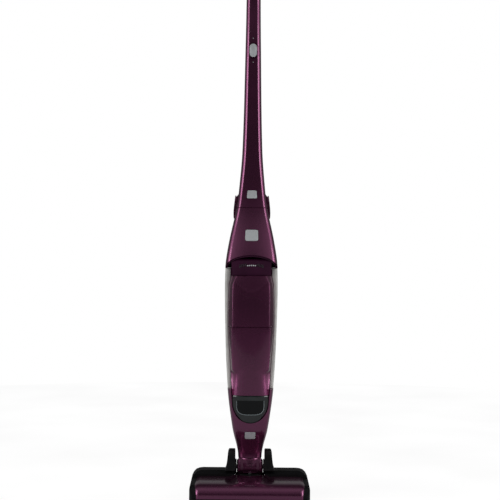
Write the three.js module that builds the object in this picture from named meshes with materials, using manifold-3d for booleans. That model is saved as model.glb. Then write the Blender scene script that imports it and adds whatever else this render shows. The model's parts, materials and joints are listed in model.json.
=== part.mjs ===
// Cordless stick vacuum: a hand vacuum docked in an upright frame, with a folding handle,
// a swivelling knuckle and a powered floor nozzle.
// Millimetres. The front faces -Y, +X is to the right, +Z is up, and the origin is on the floor
// under the centre of the nozzle.

import * as THREE from 'three';
import { mergeVertices } from 'three/addons/utils/BufferGeometryUtils.js';
import Module from 'manifold-3d';

const wasm = await Module();
wasm.setup();

// ---- Clearances and walls -------------------------------------------------------------------
const GAP = 0.3; // between pieces that touch
const RUN = 0.6; // round a piece that moves
const WALL = 2.4; // moulded casings
const FAR = 400; // reach of a tool solid that cuts right through

// ---- Floor nozzle ---------------------------------------------------------------------------
const NOZZLE_WIDTH = 265;
const NOZZLE_DEPTH = 180;
const NOZZLE_CORNER = 27;
const SHOULDER = { width: 26, height: 24 };
const SOLE_HEIGHT = 4; // floor to the sole plate's top
const SOLE_THICK = 2.5;
const GLIDE_LENGTH = 150;
const COVER_REAR_Y = 24;
const DECK_TOP = 55;
const COVER_TOP = 43; // floor to the crown of the coloured cover
const BRUSH_Y = -58;
const BRUSH_RADIUS = 16;
const BRUSH_CORE = 10;
const BRUSH_LENGTH = 217;
const ROLL_CLEARANCE = 4; // brush tip to chamber wall
const MOTOR_RADIUS = 13;
const WHEEL_RADIUS = 12;
const WHEEL_WIDTH = 16;
const WHEEL_X = 84;

// ---- Knuckle and yoke -----------------------------------------------------------------------
const STICK_Y = 45; // the stick's own axis
const PIVOT_Z = 62;
const BARREL_RADIUS = 18;
const BARREL_WIDTH = 59;
const YOKE_GAP = 3.5;
const YOKE_WIDTH = 96;
const YOKE_TOP = 103;
const SAUCER_RADIUS = 32;
const SPIGOT_RADIUS = 15;
const SPIGOT_HEIGHT = 26;
const PIVOT_PIN_RADIUS = 5;
const PIVOT_PIN_LENGTH = 12;
const YOKE_DEPTH = 48; // front to rear at the deck
const YOKE_FLARE = 8; // how far each arm spreads onto the deck

// ---- Stick: lengths from the foot upwards ---------------------------------------------------
const FOOT_Z = PIVOT_Z + 23;
const CUP_HEIGHT = 84;
const BIN_HEIGHT = 214;
const MOTOR_HEIGHT = 115;
const NECK_HEIGHT = 152;
const HANDLE_LENGTH = 510;
const RIM_Z = FOOT_Z + CUP_HEIGHT;
const BIN_TOP = RIM_Z + BIN_HEIGHT;
const POD_TOP = BIN_TOP + MOTOR_HEIGHT;
const SEAM_Z = POD_TOP + NECK_HEIGHT;
const TOP_Z = SEAM_Z + HANDLE_LENGTH;
const RAIL_FOOT = RIM_Z + 76; // where the side rails begin
const NECK_FOOT = POD_TOP + 16; // lower corners of the neck casing
const WINDOW_TOP = RIM_Z + 62;
const WAIST_Z = FOOT_Z + 70; // middle of the cup's flare
const SHOULDER_Z = SEAM_Z - 75; // where the neck starts to narrow quickly
const HANDLE_BEND = SEAM_Z + 36; // end of the handle's quick taper
const LOWER_HANDLE = SEAM_Z + 131;
const GRIP_FOOT = TOP_Z - 147;
const CAP_HEIGHT = 9;

// ---- Stick: widths and depths ---------------------------------------------------------------
const FOOT_WIDTH = 53;
const BODY_WIDTH = 117.5;
const SEAM_WIDTH = 69;
const GRIP_WIDTH = 32;
const POD_WIDTH = 103;
const STICK_HALF = { // half widths between the ends
  waist: 39.7, railFoot: 51.4, shoulder: 50.5, bend: 30, lowerHandle: 22.5, grip: 17.5,
};
const STICK_FRONT = { // depth of the front face at each height
  foot: 22, waist: -16, railFoot: -26, bin: -30, pod: -28, neck: -20,
  seam: 16, lowerHandle: 26, grip: 36, top: 50,
};
const STICK_BACK = { // depth of the rear face at each height
  foot: 68, waist: 65, seam: 64, lowerHandle: 61, grip: 68, top: 82,
};
const POD_HALF = { rim: 37, window: 42, bin: 46.5, motor: 50, top: 46 };
const POD_BACK = 36; // rear face of the hand vacuum
const SPINE_FRONT = POD_BACK + 1.5;
const MOUTH_Y = POD_BACK - 20; // where the dust duct enters the bin
const RAIL_FRONT = 2;
const ARCH_HEIGHT = 30; // rise of the neck's arched lower edge

// ---- Controls -------------------------------------------------------------------------------
const BUTTON_PROUD = 0.8;
const BUTTON_THICK = 4.8;
const FOLD_BUTTON = { width: 22, height: 18, z: SEAM_Z + 30 };
const RELEASE_BUTTON = { width: 29, height: 25, z: SEAM_Z - 62 };
const NOZZLE_BUTTON = { width: 24, height: 16.6, z: FOOT_Z + 55 };
const SLIDER = { width: 16.5, height: 31, z: TOP_Z - 154 };
const SLIDER_TRAVEL = 4.5;
const BEZEL_RIM = 2.4;
const SLIDER_LEAN = 0.063; // the handle's backward slope at the switch
const HINGE = { y: 72, pin: 3, lug: 7, lugWidth: 40, ear: 6.5 };
const EAR = { drop: 25, rise: 28, front: 39 }; // hinge ears, from the seam and from the floor axis
const INLET = { bore: 3.5, radius: 7, depth: 9, z: RAIL_FOOT + 40 }; // charging socket

const COLOURS = {
  aubergine: { color: 0x45203a, roughness: 0.28, metalness: 0.45 },
  black: { color: 0x141416, roughness: 0.5, metalness: 0 },
  silver: { color: 0xb9bdc0, roughness: 0.35, metalness: 0.6 },
  rail: { color: 0xd3d4d1, roughness: 0.4, metalness: 0 },
  smoke: { color: 0x1c1f22, roughness: 0.1, metalness: 0 },
  rubber: { color: 0x1b1b1c, roughness: 0.85, metalness: 0 },
  steel: { color: 0x9a9da1, roughness: 0.3, metalness: 1 },
  brass: { color: 0xb08d4a, roughness: 0.35, metalness: 1 },
  bristle: { color: 0x3a3a40, roughness: 0.9, metalness: 0 },
  cell: { color: 0x3f6f8f, roughness: 0.45, metalness: 0.1 },
  board: { color: 0x1f5a36, roughness: 0.6, metalness: 0 },
  filter: { color: 0xe4e0d4, roughness: 0.95, metalness: 0 },
};

const part = new THREE.Group();

function add(name, colour, geometry) {
  const mesh = new THREE.Mesh(geometry, new THREE.MeshStandardMaterial(COLOURS[colour]));
  mesh.name = name;
  part.add(mesh);
}

// ---- Solid helpers --------------------------------------------------------------------------
function toSolid(geometry) {
  const bare = geometry.clone();
  bare.deleteAttribute('normal');
  bare.deleteAttribute('uv');
  const merged = mergeVertices(bare, 1e-4);
  return new wasm.Manifold(new wasm.Mesh({
    numProp: 3,
    vertProperties: new Float32Array(merged.attributes.position.array),
    triVerts: new Uint32Array(merged.index.array),
  }));
}

function toGeometry(solid) {
  const mesh = solid.getMesh();
  const geometry = new THREE.BufferGeometry();
  geometry.setAttribute('position', new THREE.BufferAttribute(mesh.vertProperties, 3));
  geometry.setIndex(new THREE.BufferAttribute(mesh.triVerts, 1));
  geometry.computeVertexNormals();
  return geometry;
}

function combine(first, others, step) {
  return toGeometry(others.reduce((solid, other) => solid[step](toSolid(other)), toSolid(first)));
}
const join = (first, ...others) => combine(first, others, 'add');
const cut = (first, ...others) => combine(first, others, 'subtract');
const common = (first, ...others) => combine(first, others, 'intersect');

function box(x0, x1, y0, y1, z0, z1) {
  const geometry = new THREE.BoxGeometry(x1 - x0, y1 - y0, z1 - z0);
  return geometry.translate((x0 + x1) / 2, (y0 + y1) / 2, (z0 + z1) / 2);
}

// A cylinder centred on x, y, z, lying along the named axis.
function rod(axis, radius, length, x, y, z, sides = 20) {
  const geometry = new THREE.CylinderGeometry(radius, radius, length, sides);
  if (axis === 'x') geometry.rotateZ(-Math.PI / 2);
  if (axis === 'z') geometry.rotateX(Math.PI / 2);
  return geometry.translate(x, y, z);
}

// A ring turned about the named axis from z0 to z1 along it.
function ring(axis, inner, outer, length, x, y, z, sides = 20) {
  return cut(rod(axis, outer, length, x, y, z, sides), rod(axis, inner, length + 2, x, y, z, sides));
}

// An outline in X and Z, pushed along Y from y0 to y1.
function slab(points, y0, y1) {
  const shape = new THREE.Shape(points.map(([x, z]) => new THREE.Vector2(x, z)));
  const geometry = new THREE.ExtrudeGeometry(shape, { depth: y1 - y0, bevelEnabled: false });
  return geometry.rotateX(Math.PI / 2).translate(0, y1, 0);
}

// An outline in Y and Z, pushed along X from x0 to x1.
function slice(points, x0, x1) {
  const shape = new THREE.Shape(points.map(([y, z]) => new THREE.Vector2(y, z)));
  const geometry = new THREE.ExtrudeGeometry(shape, { depth: x1 - x0, bevelEnabled: false });
  return geometry.rotateX(Math.PI / 2).rotateZ(Math.PI / 2).translate(x0, 0, 0);
}

// A smooth curve through [place, value] stations, level at both ends.
function profile(stations) {
  const slope = stations.map((here, i) => {
    const before = stations[i - 1];
    const after = stations[i + 1];
    if (!before || !after) return 0;
    return (after[1] - before[1]) / (after[0] - before[0]);
  });
  return (place) => {
    const last = stations.length - 1;
    if (place <= stations[0][0]) return stations[0][1];
    if (place >= stations[last][0]) return stations[last][1];
    const i = stations.findIndex(([end]) => end > place) - 1;
    const [start, low] = stations[i];
    const [end, high] = stations[i + 1];
    const span = end - start;
    const t = (place - start) / span;
    const rise = low + (high - low) * t * t * (3 - 2 * t);
    const ease = t * (1 - t) * span;
    return rise + ease * ((1 - t) * slope[i] - t * slope[i + 1]);
  };
}

// ---- The stick's skin -----------------------------------------------------------------------
const halfWidth = profile([
  [FOOT_Z, FOOT_WIDTH / 2],
  [WAIST_Z, STICK_HALF.waist],
  [RAIL_FOOT, STICK_HALF.railFoot],
  [BIN_TOP, BODY_WIDTH / 2 - 0.6],
  [NECK_FOOT, BODY_WIDTH / 2],
  [SHOULDER_Z, STICK_HALF.shoulder],
  [SEAM_Z, SEAM_WIDTH / 2],
  [HANDLE_BEND, STICK_HALF.bend],
  [LOWER_HANDLE, STICK_HALF.lowerHandle],
  [GRIP_FOOT, STICK_HALF.grip],
  [TOP_Z, GRIP_WIDTH / 2],
]);
const front = profile([
  [FOOT_Z, STICK_FRONT.foot],
  [WAIST_Z, STICK_FRONT.waist],
  [RAIL_FOOT, STICK_FRONT.railFoot],
  [BIN_TOP, STICK_FRONT.bin],
  [POD_TOP, STICK_FRONT.pod],
  [SEAM_Z - 110, STICK_FRONT.neck],
  [SEAM_Z, STICK_FRONT.seam],
  [LOWER_HANDLE, STICK_FRONT.lowerHandle],
  [GRIP_FOOT, STICK_FRONT.grip],
  [TOP_Z, STICK_FRONT.top],
]);
const back = profile([
  [FOOT_Z, STICK_BACK.foot],
  [WAIST_Z, STICK_BACK.waist],
  [SEAM_Z, STICK_BACK.seam],
  [LOWER_HANDLE, STICK_BACK.lowerHandle],
  [GRIP_FOOT, STICK_BACK.grip],
  [TOP_Z, STICK_BACK.top],
]);
const podHalf = profile([
  [RIM_Z, POD_HALF.rim],
  [WINDOW_TOP, POD_HALF.window],
  [WINDOW_TOP + 81, POD_HALF.bin],
  [BIN_TOP, POD_WIDTH / 2],
  [POD_TOP - 24, POD_HALF.motor],
  [POD_TOP, POD_HALF.top],
]);

// Half sections in shares of the half width and half depth: a flat face with a bevel beside it.
const FRONT_EDGE = [[1, -0.02], [1, -0.35], [0.95, -0.68], [0.86, -0.87], [0.68, -1]];
const REAR_EDGE = [[1, 0.02], [0.98, 0.4], [0.86, 0.78], [0.6, 0.97]];
const mirrored = (edge) => edge.map(([u, v]) => [-u, v]).reverse();
const FRONT_HALF = [...FRONT_EDGE, ...mirrored(FRONT_EDGE)];
const REAR_HALF = [...REAR_EDGE, ...mirrored(REAR_EDGE)];
const WHOLE = [...FRONT_HALF, ...mirrored(REAR_EDGE).reverse(), ...REAR_EDGE.slice().reverse()];
const POD_SECTION = [
  [-1, 1], [-1, -0.45], [-0.93, -0.78], [-0.8, -1], [0.8, -1], [0.93, -0.78], [1, -0.45], [1, 1],
];

// A section pushed up from z0 to z1 and fitted to the skin, set in by the inset all round.
function column(section, z0, z1, steps, fit) {
  const shape = new THREE.Shape(section.map(([u, v]) => new THREE.Vector2(u, v)));
  const geometry = new THREE.ExtrudeGeometry(shape, { depth: 1, steps, bevelEnabled: false });
  const place = geometry.attributes.position;
  for (let i = 0; i < place.count; i += 1) {
    const z = z0 + (z1 - z0) * place.getZ(i);
    const { half, low, high } = fit(z);
    const v = (place.getY(i) + 1) / 2;
    place.setXYZ(i, place.getX(i) * half, low + (high - low) * v, z);
  }
  return geometry;
}
const skin = (inset) => (z) => ({
  half: halfWidth(z) - inset,
  low: front(z) + inset,
  high: back(z) - inset,
});
const podSkin = (inset) => (z) => ({
  half: podHalf(z) - inset,
  low: front(z) + inset,
  high: POD_BACK - inset,
});
const behind = (y) => box(-FAR, FAR, y, FAR, -FAR, TOP_Z + FAR);
const ahead = (y) => box(-FAR, FAR, -FAR, y, -FAR, TOP_Z + FAR);

// The U-shaped rim between the cup and the dust bin: half an ellipse, moved out by the room.
const RIM_RISE = 45;
const RIM_SHOULDER = RIM_Z + RIM_RISE;
function rimArc(drop, room) {
  const points = [];
  const steps = 14;
  const reach = podHalf(RIM_SHOULDER) + room;
  for (let i = 0; i <= steps; i += 1) {
    const angle = Math.PI * (1 + i / steps);
    points.push([
      reach * Math.cos(angle), RIM_SHOULDER + (RIM_RISE + drop) * Math.sin(angle),
    ]);
  }
  return points;
}

const aboveRim = (inset) => slab([
  ...rimArc(-inset - GAP, -inset),
  [FAR, RIM_SHOULDER],
  [FAR, POD_TOP + FAR],
  [-FAR, POD_TOP + FAR],
  [-FAR, RIM_SHOULDER],
], -FAR, FAR);

// The space the hand vacuum needs to slide out forwards, as far back as rearY.
function dockingSpace(room, rearY) {
  const sides = [];
  const start = RIM_SHOULDER + 1;
  const steps = 18;
  for (let i = 0; i <= steps; i += 1) {
    const z = start + ((POD_TOP - start) * i) / steps;
    sides.push([podHalf(z) + room, z]);
  }
  const reach = POD_TOP + 60;
  return slab([
    ...rimArc(room, room),
    ...sides,
    [podHalf(POD_TOP) + room, reach],
    [-podHalf(POD_TOP) - room, reach],
    ...sides.map(([x, z]) => [-x, z]).reverse(),
  ], -FAR, rearY);
}

// ---- Push buttons ---------------------------------------------------------------------------
const buttonHole = ({ width, height, z }, room) => box(
  -width / 2 - room, width / 2 + room, -FAR, STICK_Y - 10,
  z - height / 2 - room, z + height / 2 + room,
);

function pushButton(name, size) {
  const low = size.z - size.height;
  const high = size.z + size.height;
  const outer = column(WHOLE, low, high, 2, skin(-BUTTON_PROUD));
  const inner = column(WHOLE, low - 1, high + 1, 2, skin(BUTTON_THICK - BUTTON_PROUD));
  add(name, 'silver', cut(common(outer, buttonHole(size, 0)), inner));
}

// ---- Floor nozzle ---------------------------------------------------------------------------
const HALF_NOZZLE = NOZZLE_WIDTH / 2;
const HALF_DEPTH = NOZZLE_DEPTH / 2;
const COVER_SIDE = 11; // black rim beside the cover
const NOSE_FOOT = 12; // floor to the cover's lower front edge
const HUMP = { half: 38, rise: 3.5 }; // raised panel along the middle of the cover
const CHANNEL = SAUCER_RADIUS + 2; // half width of the gap the stick lies back into
const CHANNEL_FLOOR = 32;
const CHAMBER_RADIUS = BRUSH_RADIUS + ROLL_CLEARANCE;
const BRUSH_Z = BRUSH_RADIUS + 0.8;
const CHAMBER_HALF = HALF_NOZZLE - COVER_SIDE - 0.5;
const BEARING = { bore: 3.4, radius: 8, width: 4.4 };
const BELT_X = -CHAMBER_HALF + BEARING.width + 6; // plane of the belt
const PULLEY = { large: 9, small: 5, width: 7 };
const MOTOR_Y = BRUSH_Y + CHAMBER_RADIUS + MOTOR_RADIUS + 6;
const MOTOR_Z = BRUSH_Z + 4;
const MOTOR_LENGTH = 50;
const AXLE_RADIUS = 2.5;
const DUCT_RADIUS = 10;
const WHEEL_Y = HALF_DEPTH - WHEEL_RADIUS;

// The plan of the nozzle: tight corners at the front, generous ones at the back.
function planBlock(inset, z0, z1) {
  const x = HALF_NOZZLE - inset;
  const y = HALF_DEPTH - inset;
  const rear = NOZZLE_CORNER - inset / 2;
  const nose = rear / 2;
  const shape = new THREE.Shape();
  shape.absarc(-x + nose, -y + nose, nose, Math.PI, 1.5 * Math.PI);
  shape.absarc(x - nose, -y + nose, nose, 1.5 * Math.PI, 2 * Math.PI);
  shape.absarc(x - rear, y - rear, rear, 0, Math.PI / 2);
  shape.absarc(-x + rear, y - rear, rear, Math.PI / 2, Math.PI);
  const geometry = new THREE.ExtrudeGeometry(shape, {
    depth: z1 - z0, bevelEnabled: false, curveSegments: 4,
  });
  return geometry.translate(0, 0, z0);
}

// Side view of the cover: a steep nose that rounds over to a level crown, set in by the inset.
const noseLine = (inset) => [
  [-HALF_DEPTH + inset, NOSE_FOOT],
  [-HALF_DEPTH + inset, NOSE_FOOT + 8],
  [-HALF_DEPTH + 3 + inset, NOSE_FOOT + 17 - 0.3 * inset],
  [-HALF_DEPTH + 10 + 0.8 * inset, COVER_TOP - 6 - 0.7 * inset],
  [-HALF_DEPTH + 22 + 0.4 * inset, COVER_TOP - 1.5 - inset],
  [BRUSH_Y + 20, COVER_TOP - inset],
  [COVER_REAR_Y, COVER_TOP - 0.5 - inset],
];

// Front view of the nozzle: upright sides with a large round at each shoulder.
function shoulders(inset) {
  const x = HALF_NOZZLE - inset;
  const rise = DECK_TOP - SHOULDER.height;
  const sides = [];
  for (let i = 0; i <= 5; i += 1) {
    const angle = (Math.PI * i) / 10;
    sides.push([
      x - SHOULDER.width * (1 - Math.cos(angle)), rise + (SHOULDER.height - inset) * Math.sin(angle),
    ]);
  }
  return slab([
    [-x, -FAR], [x, -FAR], ...sides, ...sides.map(([a, b]) => [-a, b]).reverse(),
  ], -FAR, FAR);
}

function nozzleEnvelope(inset) {
  const deck = DECK_TOP - inset;
  return common(planBlock(inset, SOLE_HEIGHT + GAP - inset, deck), shoulders(inset), slice([
    ...noseLine(WALL + GAP + inset),
    [COVER_REAR_Y + 0.1 + inset, DECK_TOP - 7 - inset],
    [COVER_REAR_Y + 12 + inset, deck],
    [HALF_DEPTH - 14, deck],
    [HALF_DEPTH - inset, deck - 12],
    [HALF_DEPTH + 1, -FAR],
    [-HALF_DEPTH - 5, -FAR],
    [-HALF_DEPTH - 5, NOSE_FOOT - GAP - inset],
    [-HALF_DEPTH + WALL + GAP + inset, NOSE_FOOT - GAP - inset],
  ], -FAR, FAR));
}

const bothSides = (make) => [-1, 1].map(make);

function wheelBay(way, room) {
  const x = way * WHEEL_X;
  const half = WHEEL_WIDTH / 2 + 1 + room;
  return box(x - half, x + half, WHEEL_Y - WHEEL_RADIUS - 2 - room, FAR, -FAR,
    WHEEL_RADIUS * 2 + 2 + room);
}

function nozzleBase() {
  const outer = nozzleEnvelope(0);
  const chamber = (room) => join(
    rod('x', CHAMBER_RADIUS + room, 2 * (CHAMBER_HALF + room), 0, BRUSH_Y, BRUSH_Z, 24),
    box(-CHAMBER_HALF - room, CHAMBER_HALF + room, BRUSH_Y - CHAMBER_RADIUS - room,
      BRUSH_Y + CHAMBER_RADIUS + room, -FAR, BRUSH_Z),
  );
  const channel = (room) => box(
    -CHANNEL - room, CHANNEL + room, STICK_Y - SAUCER_RADIUS - 2 - room, FAR,
    CHANNEL_FLOOR - room, FAR,
  );
  const duct = (room) => join(
    rod('y', DUCT_RADIUS + room, STICK_Y - BRUSH_Y, 0, (STICK_Y + BRUSH_Y) / 2, BRUSH_Z, 16),
    rod('z', DUCT_RADIUS + room, CHANNEL_FLOOR, 0, STICK_Y, BRUSH_Z + CHANNEL_FLOOR / 2, 16),
  );
  const motorBay = (room) => box(
    BELT_X + 6 - room, BELT_X + MOTOR_LENGTH + 12 + room, MOTOR_Y - MOTOR_RADIUS - GAP - room,
    MOTOR_Y + MOTOR_RADIUS + GAP + room, MOTOR_Z - MOTOR_RADIUS - GAP - room, FAR,
  );
  const walls = join(
    chamber(WALL), channel(WALL), duct(WALL), motorBay(WALL),
    ...bothSides((way) => wheelBay(way, WALL + 4)),
  );
  const body = join(cut(outer, nozzleEnvelope(WALL)), common(outer, walls));
  const beltBay = box(BELT_X - 5, BELT_X + 5, BRUSH_Y, MOTOR_Y + 8, BRUSH_Z - 14, FAR);
  const axleHoles = bothSides((way) => rod(
    'x', AXLE_RADIUS + GAP, WHEEL_WIDTH + 12, way * WHEEL_X, WHEEL_Y, WHEEL_RADIUS, 12,
  ));
  return cut(body, chamber(0), channel(0), duct(0), motorBay(0), beltBay, ...axleHoles,
    ...bothSides((way) => wheelBay(way, 0)));
}

function nozzleCover() {
  const sheet = slice([...noseLine(WALL), ...noseLine(0).reverse()], -FAR, FAR);
  const hump = slice([
    [BRUSH_Y - 12, COVER_TOP - 3], [BRUSH_Y + 6, COVER_TOP + 2],
    [COVER_REAR_Y, COVER_TOP + HUMP.rise], [COVER_REAR_Y, COVER_TOP - 2],
    [BRUSH_Y + 6, COVER_TOP - 2],
  ], -HUMP.half, HUMP.half);
  const saucerHole = rod('z', SAUCER_RADIUS + 1, FAR, 0, STICK_Y, DECK_TOP, 32);
  const half = HALF_NOZZLE - COVER_SIDE;
  const outline = common(planBlock(0, 0, FAR), box(-half, half, -FAR, COVER_REAR_Y - GAP, 0, FAR));
  return cut(common(join(sheet, hump), outline), saucerHole);
}

// A core with four slowly twisting rows of bristles, on its axle and with its belt pulley.
function brushRoll() {
  const middle = (BEARING.width + PULLEY.width) / 2;
  const core = rod('x', BRUSH_CORE, BRUSH_LENGTH, middle, BRUSH_Y, BRUSH_Z, 18);
  const rows = 4;
  const twist = 2;
  const fins = [];
  for (let row = 0; row < rows; row += 1) {
    const fin = new THREE.BoxGeometry(BRUSH_LENGTH - 6, 3, BRUSH_RADIUS, 6, 1, 1);
    fin.translate(middle, 0, BRUSH_RADIUS / 2);
    const place = fin.attributes.position;
    const spot = new THREE.Vector3();
    for (let i = 0; i < place.count; i += 1) {
      const angle = (row * 2 * Math.PI) / rows + (place.getX(i) / BRUSH_LENGTH) * twist;
      spot.fromBufferAttribute(place, i).applyAxisAngle(new THREE.Vector3(1, 0, 0), angle);
      place.setXYZ(i, spot.x, spot.y, spot.z);
    }
    fins.push(fin.translate(0, BRUSH_Y, BRUSH_Z));
  }
  const axle = rod('x', BEARING.bore - 0.4, 2 * CHAMBER_HALF - 1, 0, BRUSH_Y, BRUSH_Z, 12);
  const pulley = rod('x', PULLEY.large, PULLEY.width, BELT_X, BRUSH_Y, BRUSH_Z, 18);
  return join(core, axle, pulley, ...fins);
}

function driveBelt() {
  const thick = 1.2;
  const loop = (room, half) => {
    const shape = new THREE.Shape();
    shape.absarc(BRUSH_Y, BRUSH_Z, PULLEY.large + room, Math.PI / 2, 1.5 * Math.PI);
    shape.absarc(MOTOR_Y, MOTOR_Z, PULLEY.small + room, 1.5 * Math.PI, 2.5 * Math.PI);
    return slice(shape.getPoints(6).map(({ x, y }) => [x, y]), BELT_X - half, BELT_X + half);
  };
  return cut(loop(GAP + thick, 2.5), loop(GAP, 5));
}

function solePlate() {
  const plate = planBlock(6, SOLE_HEIGHT - SOLE_THICK, SOLE_HEIGHT);
  const mouth = box(
    -CHAMBER_HALF, CHAMBER_HALF, BRUSH_Y - CHAMBER_RADIUS, BRUSH_Y + CHAMBER_RADIUS, -FAR, FAR,
  );
  return cut(plate, mouth, ...bothSides((way) => wheelBay(way, 0)));
}

function nozzle() {
  add('nozzle_base', 'black', nozzleBase());
  add('nozzle_cover', 'aubergine', nozzleCover());
  add('sole_plate', 'black', solePlate());
  add('brush_roll', 'bristle', brushRoll());
  add('drive_belt', 'rubber', driveBelt());
  [['left', -1], ['right', 1]].forEach(([side, way]) => {
    add(`brush_bearing_${side}`, 'steel', ring(
      'x', BEARING.bore, BEARING.radius, BEARING.width,
      way * (CHAMBER_HALF - BEARING.width / 2 - GAP), BRUSH_Y, BRUSH_Z, 16,
    ));
    const centre = [way * WHEEL_X, WHEEL_Y, WHEEL_RADIUS];
    add(`wheel_${side}`, 'rubber', ring(
      'x', AXLE_RADIUS + GAP, WHEEL_RADIUS, WHEEL_WIDTH, ...centre, 24,
    ));
    add(`wheel_axle_${side}`, 'steel', rod('x', AXLE_RADIUS, WHEEL_WIDTH + 10, ...centre, 12));
  });
  add('front_glide', 'rubber', box(
    -GLIDE_LENGTH / 2, GLIDE_LENGTH / 2, -HALF_DEPTH + 7, -HALF_DEPTH + 11,
    0, SOLE_HEIGHT - SOLE_THICK - GAP,
  ));
  add('brush_motor', 'steel', rod(
    'x', MOTOR_RADIUS, MOTOR_LENGTH, BELT_X + 8 + MOTOR_LENGTH / 2, MOTOR_Y, MOTOR_Z, 20,
  ));
  add('motor_pulley', 'brass', rod(
    'x', PULLEY.small, PULLEY.width, BELT_X, MOTOR_Y, MOTOR_Z, 14,
  ));
}

// ---- Yoke, saucer and knuckle ---------------------------------------------------------------
function yokeArm(way) {
  const inner = BARREL_WIDTH / 2 + YOKE_GAP;
  const outer = YOKE_WIDTH / 2;
  const foot = DECK_TOP + GAP;
  const face = slab([
    [inner, foot], [outer + YOKE_FLARE, foot], [outer + 3, DECK_TOP + 10],
    [outer - 1, YOKE_TOP - 8], [outer - 6, YOKE_TOP], [inner, YOKE_TOP],
  ].map(([x, z]) => [way * x, z]), STICK_Y - YOKE_DEPTH, STICK_Y + YOKE_DEPTH);
  const reach = YOKE_DEPTH / 2;
  const side = slice([
    [STICK_Y - reach, 0], [STICK_Y - reach, DECK_TOP + 8], [STICK_Y - reach + 8, YOKE_TOP - 4],
    [STICK_Y - 8, YOKE_TOP], [STICK_Y + 8, YOKE_TOP], [STICK_Y + reach - 6, YOKE_TOP - 8],
    [STICK_Y + reach, DECK_TOP + 4], [STICK_Y + reach, 0],
  ], -FAR, FAR);
  const hole = rod(
    'x', PIVOT_PIN_RADIUS + GAP, PIVOT_PIN_LENGTH, way * inner, STICK_Y, PIVOT_Z, 16,
  );
  return cut(common(face, side), hole);
}

const SCREW_SEAT = STICK_Y - 14;

function knuckleBody() {
  const half = BARREL_WIDTH / 2;
  const barrel = rod('x', BARREL_RADIUS, BARREL_WIDTH, 0, STICK_Y, PIVOT_Z, 28);
  const neck = slice([
    [STICK_Y - BARREL_RADIUS, PIVOT_Z], [STICK_Y + BARREL_RADIUS, PIVOT_Z],
    [STICK_Y + 19, FOOT_Z - GAP], [STICK_Y - 19, FOOT_Z - GAP],
  ], -half + 4, half - 4);
  const top = rod('z', 26, 5, 0, STICK_Y, FOOT_Z - GAP - 2.5, 28);
  const slots = [-1, 1].map((side) => box(
    side * 18 - 3, side * 18 + 3, -FAR, STICK_Y - 13, PIVOT_Z - 6, FOOT_Z - 6,
  ));
  const recess = box(-6.5, 6.5, -FAR, STICK_Y - 15, PIVOT_Z + 2, FOOT_Z - 8);
  const hollow = box(-15, 15, -FAR, SCREW_SEAT, PIVOT_Z - 30, PIVOT_Z - 10);
  const pinHoles = rod('x', PIVOT_PIN_RADIUS + GAP, BARREL_WIDTH + 2, 0, STICK_Y, PIVOT_Z, 16);
  const duct = rod('z', DUCT_RADIUS, FAR, 0, STICK_Y, FOOT_Z, 20);
  return cut(join(barrel, neck, top), ...slots, recess, hollow, duct, pinHoles);
}

function knuckle() {
  const inner = BARREL_WIDTH / 2 + YOKE_GAP;
  add('yoke_left', 'black', yokeArm(-1));
  add('yoke_right', 'black', yokeArm(1));
  const dish = new THREE.LatheGeometry([
    [12, 33], [SAUCER_RADIUS - 6, 33], [SAUCER_RADIUS, 37], [SAUCER_RADIUS, 39.5],
    [SAUCER_RADIUS - 3, 39.5], [SAUCER_RADIUS - 8, 36], [12, 36], [12, 33],
  ].map(([r, z]) => new THREE.Vector2(r, z)), 32);
  add('saucer', 'black', dish.rotateX(Math.PI / 2).translate(0, STICK_Y, 0));
  [['left', -1], ['right', 1]].forEach(([side, way]) => {
    add(`pivot_pin_${side}`, 'steel', rod(
      'x', PIVOT_PIN_RADIUS, PIVOT_PIN_LENGTH, way * (inner - 1), STICK_Y, PIVOT_Z, 16,
    ));
  });
  add('knuckle', 'aubergine', knuckleBody());
  add('knuckle_screw', 'steel', rod('y', 3, 3, 0, SCREW_SEAT - 1.5 - GAP, PIVOT_Z - 14, 12));
  add('swivel_spigot', 'black', ring(
    'z', DUCT_RADIUS, SPIGOT_RADIUS, SPIGOT_HEIGHT, 0, STICK_Y, FOOT_Z + SPIGOT_HEIGHT / 2, 28,
  ));
}

// ---- Frame that carries the hand vacuum -----------------------------------------------------
function lowerCup() {
  const hollowFoot = FOOT_Z + SPIGOT_HEIGHT + 6;
  const shell = column(WHOLE, FOOT_Z, RAIL_FOOT, 8, skin(0));
  const floorSpace = cut(
    column(WHOLE, hollowFoot, RIM_Z + RIM_RISE / 2, 4, skin(WALL)),
    dockingSpace(RUN + WALL, POD_BACK + RUN + WALL),
  );
  const rearSpace = common(
    column(WHOLE, hollowFoot + 10, RAIL_FOOT + 5, 5, skin(WALL)), behind(SPINE_FRONT + WALL),
  );
  const rise = new THREE.Vector3(0, MOUTH_Y - STICK_Y, RIM_Z + 4 - FOOT_Z);
  const duct = (room) => {
    const tube = new THREE.CylinderGeometry(
      DUCT_RADIUS + room, DUCT_RADIUS + room, rise.length(), 20,
    );
    tube.applyQuaternion(new THREE.Quaternion().setFromUnitVectors(
      new THREE.Vector3(0, 1, 0), rise.clone().normalize(),
    ));
    return tube.translate(0, (STICK_Y + MOUTH_Y) / 2, FOOT_Z + rise.z / 2);
  };
  const socket = rod('z', SPIGOT_RADIUS + RUN, 2 * (SPIGOT_HEIGHT + 2), 0, STICK_Y, FOOT_Z, 28);
  const walls = common(duct(WALL), shell);
  return cut(
    join(cut(shell, floorSpace, rearSpace), walls),
    dockingSpace(RUN, POD_BACK + RUN), socket, duct(0), buttonHole(NOZZLE_BUTTON, GAP),
  );
}

function rail(way) {
  const length = column(WHOLE, RAIL_FOOT + GAP, NECK_FOOT - GAP, 6, skin(0));
  const side = box(
    way > 0 ? 0 : -FAR, way > 0 ? FAR : 0, RAIL_FRONT, SPINE_FRONT - GAP, 0, 3 * FAR,
  );
  return cut(common(length, side), dockingSpace(RUN, FAR));
}

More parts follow.
